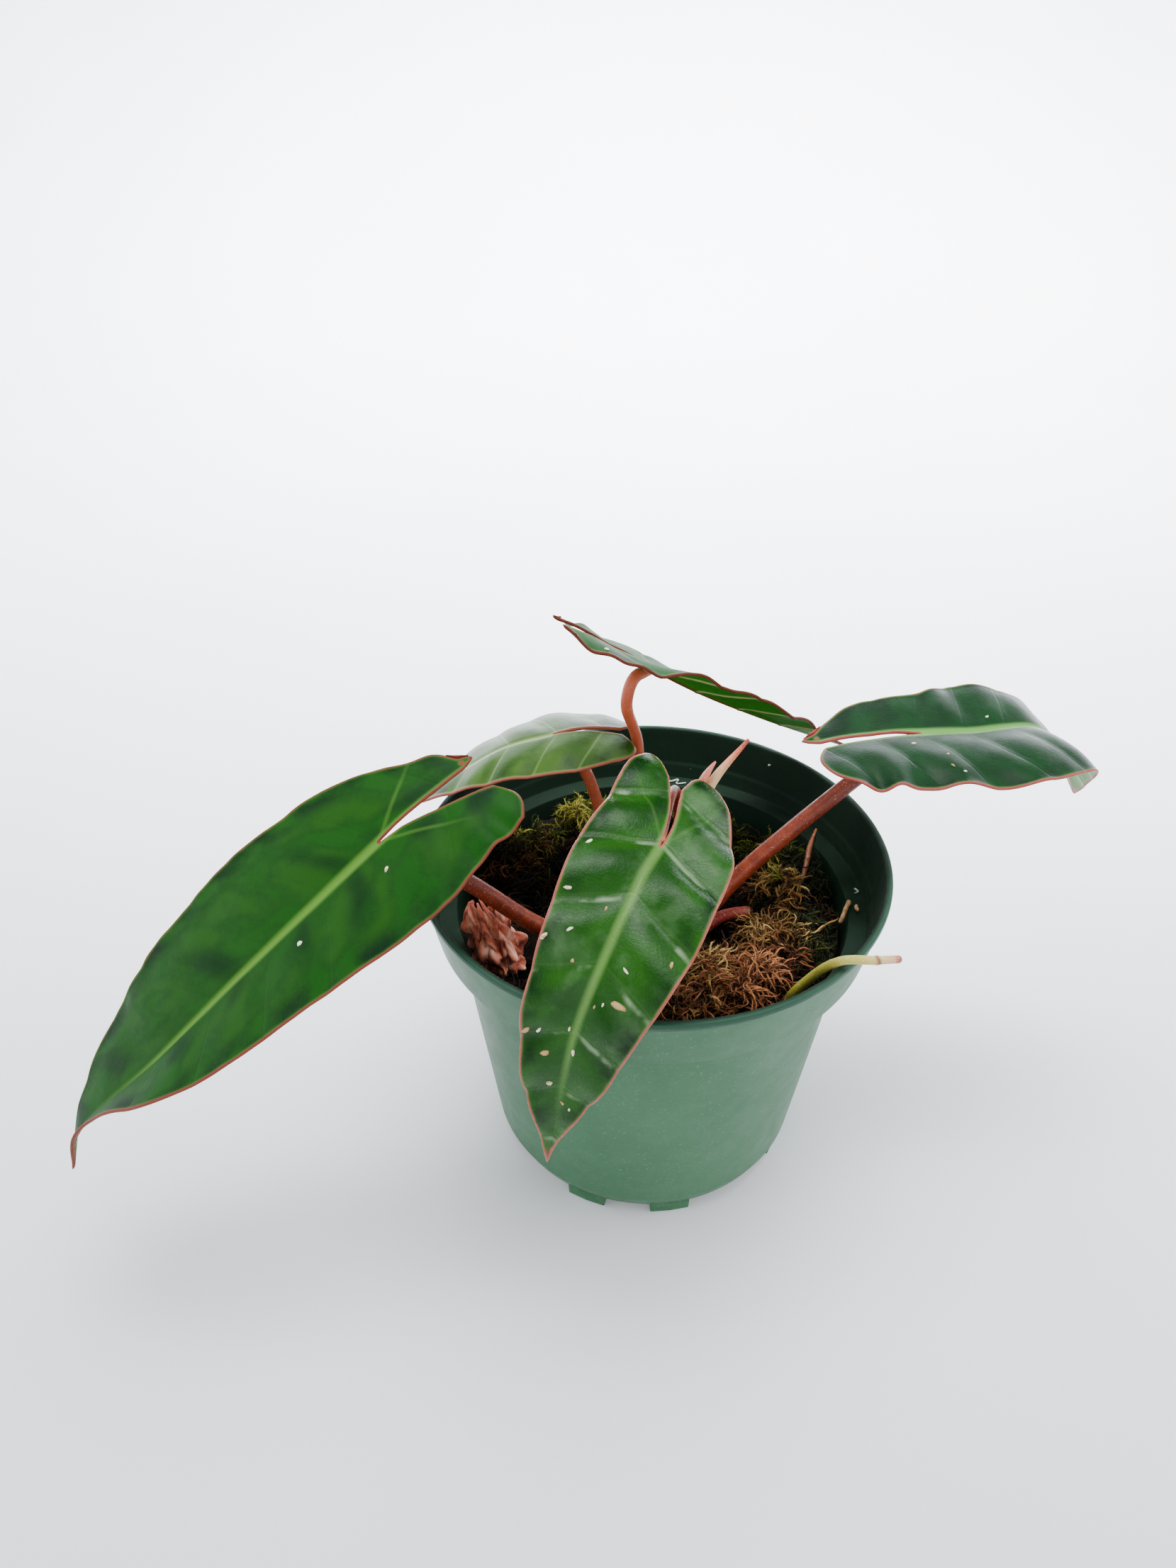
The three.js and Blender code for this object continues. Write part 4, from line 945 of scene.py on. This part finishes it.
def crown_piece(finish):
    """The short stem: a turned dome with the scars of old leaves as low rings, closed at both poles."""
    turn = np.linspace(0, np.pi / 2, 14)[1:-1]
    shoulder = CROWN_TOP_Z - CROWN_RADIUS
    side = np.stack([np.linspace(CROWN_RADIUS - 2, CROWN_RADIUS, 16), np.linspace(CROWN_FOOT_Z, shoulder, 16)], -1)
    dome = polar(CROWN_RADIUS, turn) + [0, shoulder]
    profile = np.vstack([[[0.05, CROWN_FOOT_Z]], side, dome, [[0.05, CROWN_TOP_Z]]])
    rings = turned(profile, 60, lambda height, angle: 0.05 * np.sin(height * 1.9 + 0.6 * np.sin(2 * angle))
                   + 0.03 * np.sin(5 * angle + height * 0.3))
    x, y = CROWN_HEART[:2]
    points, faces = capped(rings + [x, y, 0], (x, y, CROWN_FOOT_Z), (x, y, CROWN_TOP_Z))
    make_piece("crown_stem", points, faces, finish, ["crown"])


SPEAR = [CROWN_HEART, (7, -10, 100), (12, -2, 124), (16.5, 4, 141), (27.7, 8, 157)]
STUB = [CROWN_HEART, (13, -4, 83), (24, 3, 88.5), (34.5, 5, 90)]
ROOT = [(41, -36, 82), (43.5, -40.5, 96), (49, -43.3, 108), (55.5, -49.5, 120.4), (64, -52, 123.5),
        (71.5, -50, 122.5)]
STRAND = [(42, 10, 84), (50, 14, 95), (54, 28, 101), (57, 38, 101)]


def small_stalks():
    """The rolled new leaf, the cut stub, the aerial root and the dried strand, each a stalk along its points."""
    cream = banded_finish("rolled_leaf", (0.3, "a9b26a"), (0.6, "d9cf9a"), (0.82, "e0b98a"), (0.93, "d4623c"),
                          (1.0, "9a2a1c"))
    stalk_piece("rolled_new_leaf", cream, "new_leaf", ["new_leaf_spear"], SPEAR,
                [(0, 2.2), (0.6, 1.9), (0.8, 1.5), (1, 0.5)], 31, ribs=0.06)
    red = banded_finish("stub_skin", (0.2, "8a2a22"), (0.85, "a8352a"), (0.93, "b8503f"), (0.975, "4a1c12"))
    stalk_piece("cut_stub", red, "petiole", ["petiole_stub"], STUB, [(0, 2.4), (1, 1.9)], 32, ripple=0.05)
    root_skin = banded_finish("root_skin", (0.0, "76761a"), (0.5, "a09c30"), (0.8, "b8ae4c"), (0.86, "c6b468"),
                              (0.875, "7a4c2a"), (0.89, "cdb67c"), (0.95, "c49a78"), (0.975, "a8604c"),
                              (0.99, "5c1a14"))
    radii = [(0, 1.6), (0.5, 1.5), (0.86, 1.25), (0.875, 1.4), (0.89, 1.2), (1, 1.1)]
    stalk_piece("root_in_air", root_skin, "root", ["aerial_root"], ROOT, radii, 33, count=160, ripple=0.06)
    dry = banded_finish("strand_skin", (0.0, "3c2212"), (0.5, "6e3a20"), (0.9, "a35a3c"))
    stalk_piece("dry_strand", dry, "dried", ["dried_strand"], STRAND,
                [(0, 0.9), (0.4, 0.8), (0.7, 1.0), (0.85, 0.6), (1, 0.4)], 34, sides=10, ripple=0.25)


def pot_crumbs():
    """Dried bits on the pot's ledge and chalky specks on its inner wall, as short rough stalks."""
    dry = skin_finish("crumb_skin", "6a4428", "a87e52", "c8a880", size=1.2, roughness=0.7)
    chalk = skin_finish("chalk", "8f9c8e", "b4bcae", "d0d4c8", size=0.8, roughness=0.8, coat=0)
    bits = (("dry_bit", dry, 1.0, [(65, 1.4, 99.2), (63.6, -2.2, 99.6), (62.5, -5, 99), (61.2, -7.6, 97.5)]),
            ("dry_bit_small", dry, 0.8, [(67.2, -0.6, 99.2), (67, -2, 99.6), (67.6, -3.2, 99.2)]),
            ("chalk_curl", chalk, 0.35, [(3, 69, 98.7), (5, 66.6, 98.7), (8, 68, 98.7), (7.4, 65.2, 98.7),
                                         (11, 66, 98.7)]),
            ("chalk_spot_back", chalk, 0.4, [(12.4, 70.2, 102), (13, 70.3, 103)]),
            ("chalk_spot_high", chalk, 0.45, [(40.2, 60.4, 112), (41, 60, 112.4)]),
            ("chalk_spot_right", chalk, 0.4, [(68.3, 18.2, 99.2), (68, 19.4, 99.2)]),
            ("chalk_curl_right", chalk, 0.3, [(67.6, 9, 98.7), (68.6, 7.6, 98.7), (67.4, 6.4, 98.7)]))
    for number, (name, finish, radius, places) in enumerate(bits):
        radii = [(0, radius), (1, radius * 0.7)]
        points, faces, _ = stalk(places, radii, 60 + number, count=24, sides=10, ripple=0.3)
        make_piece(name, points, faces, finish)


def spear_sheath_piece():
    """The red sheath at the foot of the new leaf: part of a tube round the leaf's path that narrows to a point."""
    share = np.linspace(0, 1, 60)
    path = smooth_path(SPEAR, 60, (0.3, 0.86))
    tangent = unit(np.gradient(path, axis=0))
    side = unit(np.cross([-1, -0.4, 0], tangent))
    front = np.cross(tangent, side)
    spread = 80 * (1 - share**3) + 4
    angle = np.radians(90 + spread[:, None] * np.linspace(-1, 1, 25))
    radius = 3.1 + 0.8 * share[:, None] + 0.15 * np.sin(9 * share[:, None] + 2 * angle)
    surface = round_about(path[:, None], side[:, None], front[:, None], radius, angle)
    points, faces = thin_sheet(surface[:, ::-1], 0.35)
    finish = banded_finish("sheath_skin", (0.0, "7a2218"), (0.6, "a83a28"), (0.95, "c8694c"))
    along = np.tile(np.repeat(share, 25), 2)
    make_piece("new_leaf_sheath", points, faces, finish, ["spear_sheath"], {"along": along})


def husk_piece():
    """The dried sheath of a fallen leaf: curled strips about a leaning axis, whose radius swells and then narrows,
    crumpled by waves and torn along the upper edge."""
    base, lean = np.array([-46, -26, 88]), unit(np.array([-0.32, 0.12, 0.94]))
    side = unit(np.cross([0, 1, 0], lean))
    front = np.cross(lean, side)
    points, faces, tones = [], [], []
    count = 0
    strips = ((27, 1.0, -190, 25, 0.0), (22, 0.72, -150, 60, 1.7), (17, 1.12, -60, 70, 3.1),
              (24, 0.9, -235, -130, 4.6))
    for number, (length, wide, low, high, shift) in enumerate(strips):
        share, turn = np.meshgrid(np.linspace(0, 1, 44), np.linspace(0, 1, 52), indexing="ij")
        angle = np.radians(low + (high - low) * turn + 25 * share)
        radius = wide * (4.8 + 2 * np.sin(np.pi * share) - 1.6 * share)
        radius = radius * (1 + 0.1 * np.sin(9 * share + 4 * angle + shift))
        torn = length * (1 - 0.4 * wander(np.stack([turn * 30, turn * 0], -1), 50 + number, 9, 3) ** 2)
        flat = np.stack([share * length, turn * 38, 0 * turn + shift * 9], -1)
        radius = radius + 2.8 * wander(flat, 41, 11, 2)
        rise = share * torn + 0.9 * wander(flat, 42, 7, 2)
        surface = round_about(base + lean * rise[..., None], side, front, radius, angle)
        solid, parts = thin_sheet(surface[:, ::-1], 0.3)
        points.append(solid)
        faces.extend(part + count for part in parts)
        tones.append(np.tile(np.clip(0.5 + 0.5 * wander(flat, 43, 8, 3), 0, 1).ravel(), 2))
        count += len(solid)
    f = Finish("dry_husk", roughness=0.75, sheen=0.15, specular=0.3)
    tone = f.plus(f.times(f.value("tone"), 0.7), f.times(f.noise(1.3, detail=5), 0.3))
    base_colour = f.ramp(tone, (0.25, "782e1e"), (0.42, "c05e46"), (0.6, "dc8870"), (0.8, "eeb29c"))
    streak = f.noise(1.0, detail=4, scale=(1, 1, 0.25))
    finish = f.done(base_colour, None, f.bump(streak, 0.25, 0.8))
    make_piece("dry_husk", np.vstack(points), faces, finish, ["dried_sheath"],
               {"tone": np.concatenate(tones)})


# Moss

MOSS_TOP_Z = 89
MOSS_LIMIT = 61.4
STUB_PLACE = (31, 2)
STUB_HOLLOW = 3
CLUMPS = ((-30, 44, 7, 20), (-8, 52, 5, 16), (28, 40, 6, 18), (50, 22, 6, 16), (46, -8, 7, 17), (30, -36, 8, 15),
          (8, -44, 6, 15), (-22, -46, 5, 16), (-46, -6, 5, 18), (-50, 24, 6, 14), (16, 12, -5, 14), (-20, 6, -4, 14),
          (56, -28, 5, 12), (30, 0, -5, 13), (22, -45, 5, 8), (35, -35, 5, 8), (46, -24, 4, 7), (20, -30, 4, 7),
          (38, -19, 4, 7), (51, -13, 4, 7), (45, 13, 5, 8), (54, 3, 4, 7), (40, 27, 4, 8), (-27, 41, 4, 8),
          (-37, 30, 4, 7), (-45, 13, 4, 8), (-34, 7, 4, 7), (28, -50, -4, 6), (28, -37, -3, 5), (44, -33, -3, 5),
          (44, -4, -3, 6), (36, 16, -3, 6), (-30, 20, -3, 6))


def moss_top(x, y):
    """The bed's height: a level, a bell-shaped lump for each clump, and small crumbs from crossed waves."""
    height = MOSS_TOP_Z - 2 + 2.2 * np.sin(x * 0.37 + 1.2 * np.sin(y * 0.31)) * np.sin(y * 0.35 + 0.9)
    for cx, cy, high, radius in CLUMPS:
        height = height + high * np.exp(-((x - cx) ** 2 + (y - cy) ** 2) / (radius * radius * 0.5))
    return height


def moss_bed(finish):
    """The filling under the strands: rings of points on the bed's height with fine relief, and a tapered side."""
    rings, spokes = 80, 260
    bottom_z = FLOOR_TOP_Z + 0.3
    angle = turns(spokes)
    radius = (wall_radius(MOSS_TOP_Z) - WALL - 0.6) * np.linspace(0, 1, rings + 1)[1:, None]
    x, y = radius * np.cos(angle), radius * np.sin(angle)
    z = moss_top(x, y) - 1.2 + 1.6 * wander(np.stack([x, y], -1), 5, 11, 4)
    foot_ring = polar(wall_radius(bottom_z) - WALL - 1.8, angle, bottom_z)
    points, faces = capped(np.concatenate([np.stack([x, y, z], -1), foot_ring[None]]), (0, 0, moss_top(0, 0)),
                           (0, 0, bottom_z), outward=False)
    make_piece("moss_bed", points, faces, finish, ["moss"],
               {"tone": np.full(len(points), 0.3), "along": np.full(len(points), 0.5)})


def scatter(draw, count, spots, loose):
    """Places on the bed: some evenly over the disc, the rest in round heaps (x, y, spread, share)."""
    table = np.array(spots, float)
    pick = draw.choice(len(table), count, p=table[:, 3] / table[:, 3].sum())
    heap = table[pick, :2] + draw.normal(size=(count, 2)) * table[pick, 2:3]
    turn, reach = draw.uniform(0, 2 * np.pi, count), MOSS_LIMIT * np.sqrt(draw.uniform(0, 1, count))
    even = polar(reach, turn)
    place = np.where((draw.uniform(size=count) < loose)[:, None], even, heap)
    far = np.maximum(np.linalg.norm(place, axis=1, keepdims=True) / (MOSS_LIMIT - 1), 1)
    return place / far


def tufts(draw, place, each, spread, length, stack, curl, steps=10):
    """Feathery tufts: the fibres of one tuft start within its spread and head roughly the same way. The heading
    turns along a fibre and its pitch falls from up to down, so that it arches over and lies on the bed. Fibres
    are the running sums of short steps, and sink round the cut stub so that it shows."""
    count = len(place) * each
    s = np.linspace(0, 1, steps)
    long = draw.uniform(*length, count)
    start = np.repeat(place, each, 0) + draw.normal(0, spread, (count, 2))
    ahead = np.repeat(draw.uniform(0, 2 * np.pi, len(place)), each) + draw.normal(0, 0.9, count)
    heading = (ahead[:, None] + (draw.normal(0, curl, count) * long)[:, None] * s
               + 0.35 * np.sin(6 * s + draw.uniform(0, 6, count)[:, None]))
    pitch = (draw.normal(0.8, 0.45, count)[:, None] - draw.uniform(1.0, 2.6, count)[:, None] * s
             + 0.3 * np.sin(9 * s + draw.uniform(0, 6, count)[:, None]))
    step = (long / (steps - 1))[:, None]
    x = start[:, :1] + np.cumsum(step * np.cos(heading) * np.cos(pitch), 1)
    y = start[:, 1:] + np.cumsum(step * np.sin(heading) * np.cos(pitch), 1)
    lift = np.repeat(stack * draw.uniform(0, 1, len(place)) ** 1.3, each) + draw.uniform(-0.8, 0.8, count)
    z = moss_top(start[:, :1], start[:, 1:]) - 1 + lift[:, None] + np.cumsum(step * np.sin(pitch), 1)
    floor = moss_top(x, y) - 0.6
    z = np.maximum(z, floor + 0.3 * (z - floor))
    z = z - STUB_HOLLOW * np.exp(-((x - STUB_PLACE[0]) ** 2 + (y - STUB_PLACE[1]) ** 2) / 50)
    reach = np.maximum(np.hypot(x, y) / MOSS_LIMIT, 1)
    return np.stack([x / reach, y / reach, z], -1)


def strand_frames(paths):
    """The direction, side and front of each point of many paths, square to each other."""
    tangent = unit(np.gradient(paths, axis=1))
    side = unit(np.cross(tangent, [0.13, 0.21, 0.97]))
    return tangent, side, np.cross(tangent, side)


def threads(paths, radius):
    """Three-sided tubes along many paths at once, thinned to a point at both ends."""
    count, steps = paths.shape[:2]
    side, front = strand_frames(paths)[1:]
    s = np.linspace(0, 1, steps)
    thick = radius[:, None] * np.sqrt(np.clip(4 * s * (1 - s), 0.02, 1))
    angle = turns(3)
    out = side[:, :, None] * np.cos(angle)[:, None] + front[:, :, None] * np.sin(angle)[:, None]
    rings = paths[:, :, None] + out * thick[:, :, None, None]
    quads = grid_faces(steps, 3, wrap=True)
    one = np.concatenate([quads[:, [0, 1, 2]], quads[:, [0, 2, 3]], [[0, 2, 1]],
                          np.array([[0, 1, 2]]) + (steps - 1) * 3])
    faces = (one[None] + (np.arange(count) * steps * 3)[:, None, None]).reshape(-1, 3)
    return rings.reshape(-1, 3), faces, np.repeat(np.tile(s, count), 3)


def leaflets(draw, paths, each, long, wide):
    """Moss leaves: slim four-faced blades set round each strand by the golden angle, leaning out and forward."""
    count, steps = paths.shape[:2]
    tangent, side, front = strand_frames(paths)
    s = np.clip(np.linspace(0.06, 1, each) + draw.uniform(-0.02, 0.02, (count, each)), 0, 0.999) * (steps - 1)
    low = np.floor(s).astype(int)
    f = (s - low)[..., None]
    row = np.arange(count)[:, None]
    base = paths[row, low] * (1 - f) + paths[row, low + 1] * f
    turn = (GOLDEN_ANGLE * np.arange(each) + draw.uniform(0, 6, (count, 1)))[..., None]
    out = side[row, low] * np.cos(turn) + front[row, low] * np.sin(turn)
    ahead = tangent[row, low]
    reach = long * draw.uniform(0.6, 1.2, (count, each, 1)) * (1 - 0.45 * s[..., None] / steps)
    lean = unit(out + ahead * draw.uniform(0.4, 1.1, (count, each, 1)))
    breadth = np.cross(ahead, out) * wide * reach / long
    tip = base + lean * reach + ahead * 0.15 * reach
    ridge = base + lean * reach * 0.45 + out * 0.12 * reach
    corners = np.stack([base - breadth, base + breadth, ridge, tip], 2).reshape(-1, 3)
    one = np.array([[0, 1, 2], [1, 3, 2], [3, 0, 2], [0, 3, 1]])
    faces = (one[None] + 4 * np.arange(count * each)[:, None, None]).reshape(-1, 3)
    along = np.repeat((s / steps).ravel(), 4) * 0.5 + np.tile([0.2, 0.2, 0.35, 0.5], count * each)
    return corners, faces, along


MOSS_CURL = 0.2
MOSS_COLOUR_PLACES = (0.2, 0.45, 0.65, 0.85)
MOSS_KINDS = {
    "moss_rust": dict(count=88, seed=61, stack=6, length=(6, 12), tuft=(18, 1.0), thick=0.34, each=14,
                      long=1.1, loose=0.05, colours="1a0b06 4c2816 7a4829 a66c46", places=(0.15, 0.4, 0.62, 0.85),
                      spots=[(28, -38, 6, 5), (19, -29, 4, 2), (41, -25, 5, 2), (36, -44, 5, 2), (-41, -45, 6, 1),
                             (12, -48, 6, 1)]),
    "moss_golden": dict(count=80, seed=62, stack=6, length=(5, 11), tuft=(18, 1.0), thick=0.32, each=14,
                        long=1.2, loose=0.04, colours="30200c 704c26 96703c bea062",
                      spots=[(39, 14, 5, 3), (38, -11, 4, 3), (18, -34, 5, 2), (8, -46, 6, 2), (46, 2, 4, 1),
                               (22, -20, 5, 1)]),
    "moss_olive": dict(count=84, seed=63, stack=4, length=(5, 10), tuft=(16, 1.1), thick=0.28, each=16,
                       long=1.3, loose=0.15, colours="0a0e06 1a220c 303a14 585426",
                      spots=[(52, -5, 8, 3), (59, -18, 5, 2), (53, 22, 8, 2), (46, 33, 8, 2), (-36, 16, 9, 2),
                              (-50, 24, 6, 1)]),
    "moss_green": dict(count=84, seed=64, stack=5, length=(4, 9), tuft=(16, 1.2), thick=0.26, each=16,
                       long=1.4, loose=0.03, colours="161e0a 485414 747824 a69e42",
                      spots=[(-27, 43, 7, 4), (-14, 52, 6, 2), (38, 31, 5, 2), (4, 54, 8, 1), (-44, 30, 6, 1)]),
    "moss_brown": dict(count=96, seed=65, stack=3, length=(5, 10), tuft=(16, 1.2), thick=0.28, each=14,
                       long=1.3, loose=0.5, colours="120a05 34200f 583a1a 86603a",
                      spots=[(-50, 22, 7, 2), (-37, 12, 8, 2), (-40, -46, 8, 2), (20, 5, 9, 1), (45, -12, 8, 1)]),
}


def moss_strands(name, count, seed, stack, length, tuft, thick, each, long, loose, colours, spots,
                 places=MOSS_COLOUR_PLACES):
    """One colour of moss: tufts of threads with leaflets, in heaps where this colour lies."""
    draw = np.random.default_rng(seed)
    fibres, spread = tuft
    paths = tufts(draw, scatter(draw, count, spots, loose), fibres, spread, length, stack, MOSS_CURL)
    thread_points, thread_faces, thread_along = threads(paths, thick * draw.uniform(0.6, 1.2, len(paths)))
    leaf_points, leaf_faces, leaf_along = leaflets(draw, paths, each, long, 0.15)
    tone = 0.5 * np.repeat(draw.uniform(0, 1, count), fibres) + 0.4 * draw.uniform(0, 1, len(paths))
    # Painted shade: strands that start low on the bed get a darker tone, as the hollows lie in shade.
    tone = np.clip(tone + 0.07 * (paths[:, 0, 2] - MOSS_TOP_Z - 5), 0, 1)
    tones = np.concatenate([np.repeat(tone, paths.shape[1] * 3), np.repeat(tone, each * 4)])
    make_piece(name, np.vstack([thread_points, leaf_points]), [thread_faces, leaf_faces + len(thread_points)],
               moss_finish(name, *zip(places, colours.split())), ["moss"],
               {"tone": tones, "along": np.concatenate([thread_along, leaf_along])})


# Assembly

pot_piece(plastic_finish())

LEAF_FINISHES = {
    "left": leaf_finish("leaf_deep_green", LEAVES["left"], "03220a", "0f420a", "4f7a2c", "6e382c", "2f5522", 1.3,
                        gloss=0.07, matt=0.42, pale=0.15, vein_show=0.0, fresh="2a6810", basal=0.35, lens=0.75),
    "front": leaf_finish("leaf_quilted_green", LEAVES["front"], "06260a", "1c4a10", "547a3a", "904e42", "3f6828", 1.3,
                         gloss=0.13, matt=0.17, pale=0.25, fresh="225a10", sheen_clouds=0.1, basal=0.2, lens=0.28,
                         glint=0.3),
    "backLeft": leaf_finish("leaf_young_olive", LEAVES["backLeft"], "1a360a", "38581a", "7c9a58", "8a4e3c", "4f6a20",
                            0.8, gloss=0.14, matt=0.3, vein_show=0.3, fresh="3a6414", sheen_clouds=0.1),
    "backTall": leaf_finish("leaf_back_green", LEAVES["backTall"], "0a300e", "164818", "8a9a60", "542a1c", "256814",
                            1.3, gloss=0.06, matt=0.5, vein_show=0.3),
    "right": leaf_finish("leaf_blue_green", LEAVES["right"], "021c0a", "083012", "5a8a44", "86423a", "42782a", 1.9,
                         gloss=0.1, matt=0.26, vein_show=0.0, fresh="0e3c14", pale=0.3, lens=0.4),
}
PETIOLE_FINISH = petiole_finish("petiole_skin", "581a0c", "8e381c", "98583a")
PALE_PETIOLE_FINISH = petiole_finish("petiole_skin_pale", "a44c30", "b45c3c", "a8603a")

BLADES = {}
for number, (name, shape) in enumerate(LEAVES.items()):
    BLADES[name] = Blade(shape)
    points, faces, values = BLADES[name].skin()
    make_piece("leaf_" + name, points, faces, LEAF_FINISHES[name], ["blade_" + name], values, weld=True)
    skin = PALE_PETIOLE_FINISH if name.startswith("back") else PETIOLE_FINISH
    stalk_piece("stalk_" + name, skin, "petiole", ["petiole_" + name], shape["stalk"], shape["radii"], 20 + number,
                keep=0.985)

fleck_skin = Finish("fleck_skin", roughness=0.6, specular=0.3)
fleck_colour = fleck_skin.ramp(fleck_skin.plus(fleck_skin.value("tone"), fleck_skin.noise(0.8)),
                               (0.4, "ece8da"), (1.0, "d2c49c"), (1.4, "a8895c"))
flecks(BLADES, fleck_skin.done(fleck_colour))
crown_piece(skin_finish("crown_skin", "3a2414", "6a3a22", "8a5a34", size=5, roughness=0.65, bump=0.3))
small_stalks()
spear_sheath_piece()
pot_crumbs()
husk_piece()
# Painted shade: the filling under the strands is nearly black brown, as the shade deep among them.
moss_bed(moss_finish("moss_bed_dark", (0.2, "070402"), (0.6, "1c1108"), (0.9, "33200f")))
for name, kind in MOSS_KINDS.items():
    moss_strands(name, **kind)

# Stage


def stage_sheet():
    """A pale floor that sweeps up into a wall behind: a flat strip, a quarter circle and a wall, drawn sideways."""
    turn = np.linspace(0, np.pi / 2, 24)
    depth = np.concatenate([[-1600, 500], 900 + 300 * np.sin(turn), [1200]])
    height = np.concatenate([[0, 0], 300 - 300 * np.cos(turn), [620]])
    width = np.linspace(-2600, 2600, 3)
    sheet = np.stack(np.broadcast_arrays(width[None], depth[:, None], height[:, None]), -1)
    mesh = bpy.data.meshes.new("table_and_backdrop")
    mesh.from_pydata((sheet.reshape(-1, 3) * MM).tolist(), [], grid_faces(len(depth), 3).tolist())
    mesh.polygons.foreach_set("use_smooth", np.ones(len(mesh.polygons), bool))
    f = Finish("pale_table", roughness=0.7, specular=0.2)
    mesh.materials.append(f.done(f.ramp(f.noise(260, detail=3), (0.35, "e9ebf2"), (0.65, "f0f1f6"))))
    sheet_object = bpy.data.objects.new("table_and_backdrop", mesh)
    bpy.context.scene.collection.objects.link(sheet_object)


def area_light(name, place, aim, size, power, tint=(1, 1, 1), spread=180):
    """A square soft light at a place, facing the point that it aims at, within a spread in degrees."""
    data = bpy.data.lights.new(name, "AREA")
    data.size = size
    data.energy = power
    data.color = tint
    data.spread = math.radians(spread)
    light = bpy.data.objects.new(name, data)
    light.location = place
    light.rotation_euler = (Vector(aim) - Vector(place)).to_track_quat("-Z", "Y").to_euler()
    bpy.context.scene.collection.objects.link(light)


stage_sheet()
area_light("left_panel", (-2.0, -0.2, 0.9), (0, 0, 0.1), 2.0, 48, (0.97, 0.98, 1.0))
area_light("right_panel", (2.0, 0.0, 0.9), (0, 0, 0.1), 2.0, 46)
area_light("front_panel", (0.2, -1.9, 0.6), (0, 0, 0.0), 2.0, 34)
area_light("ceiling", (0.1, 0.35, 2.0), (0, 0.1, 0), 1.6, 46)
area_light("backdrop_wash", (0, 0.55, 1.3), (0, 1.3, 0.1), 1.2, 74, (0.97, 0.98, 1.0), 100)
world = bpy.data.worlds.new("soft_room")
world.use_nodes = True
world.node_tree.nodes["Background"].inputs["Color"].default_value = (0.93, 0.95, 1.0, 1)
world.node_tree.nodes["Background"].inputs["Strength"].default_value = 0.3
bpy.context.scene.world = world
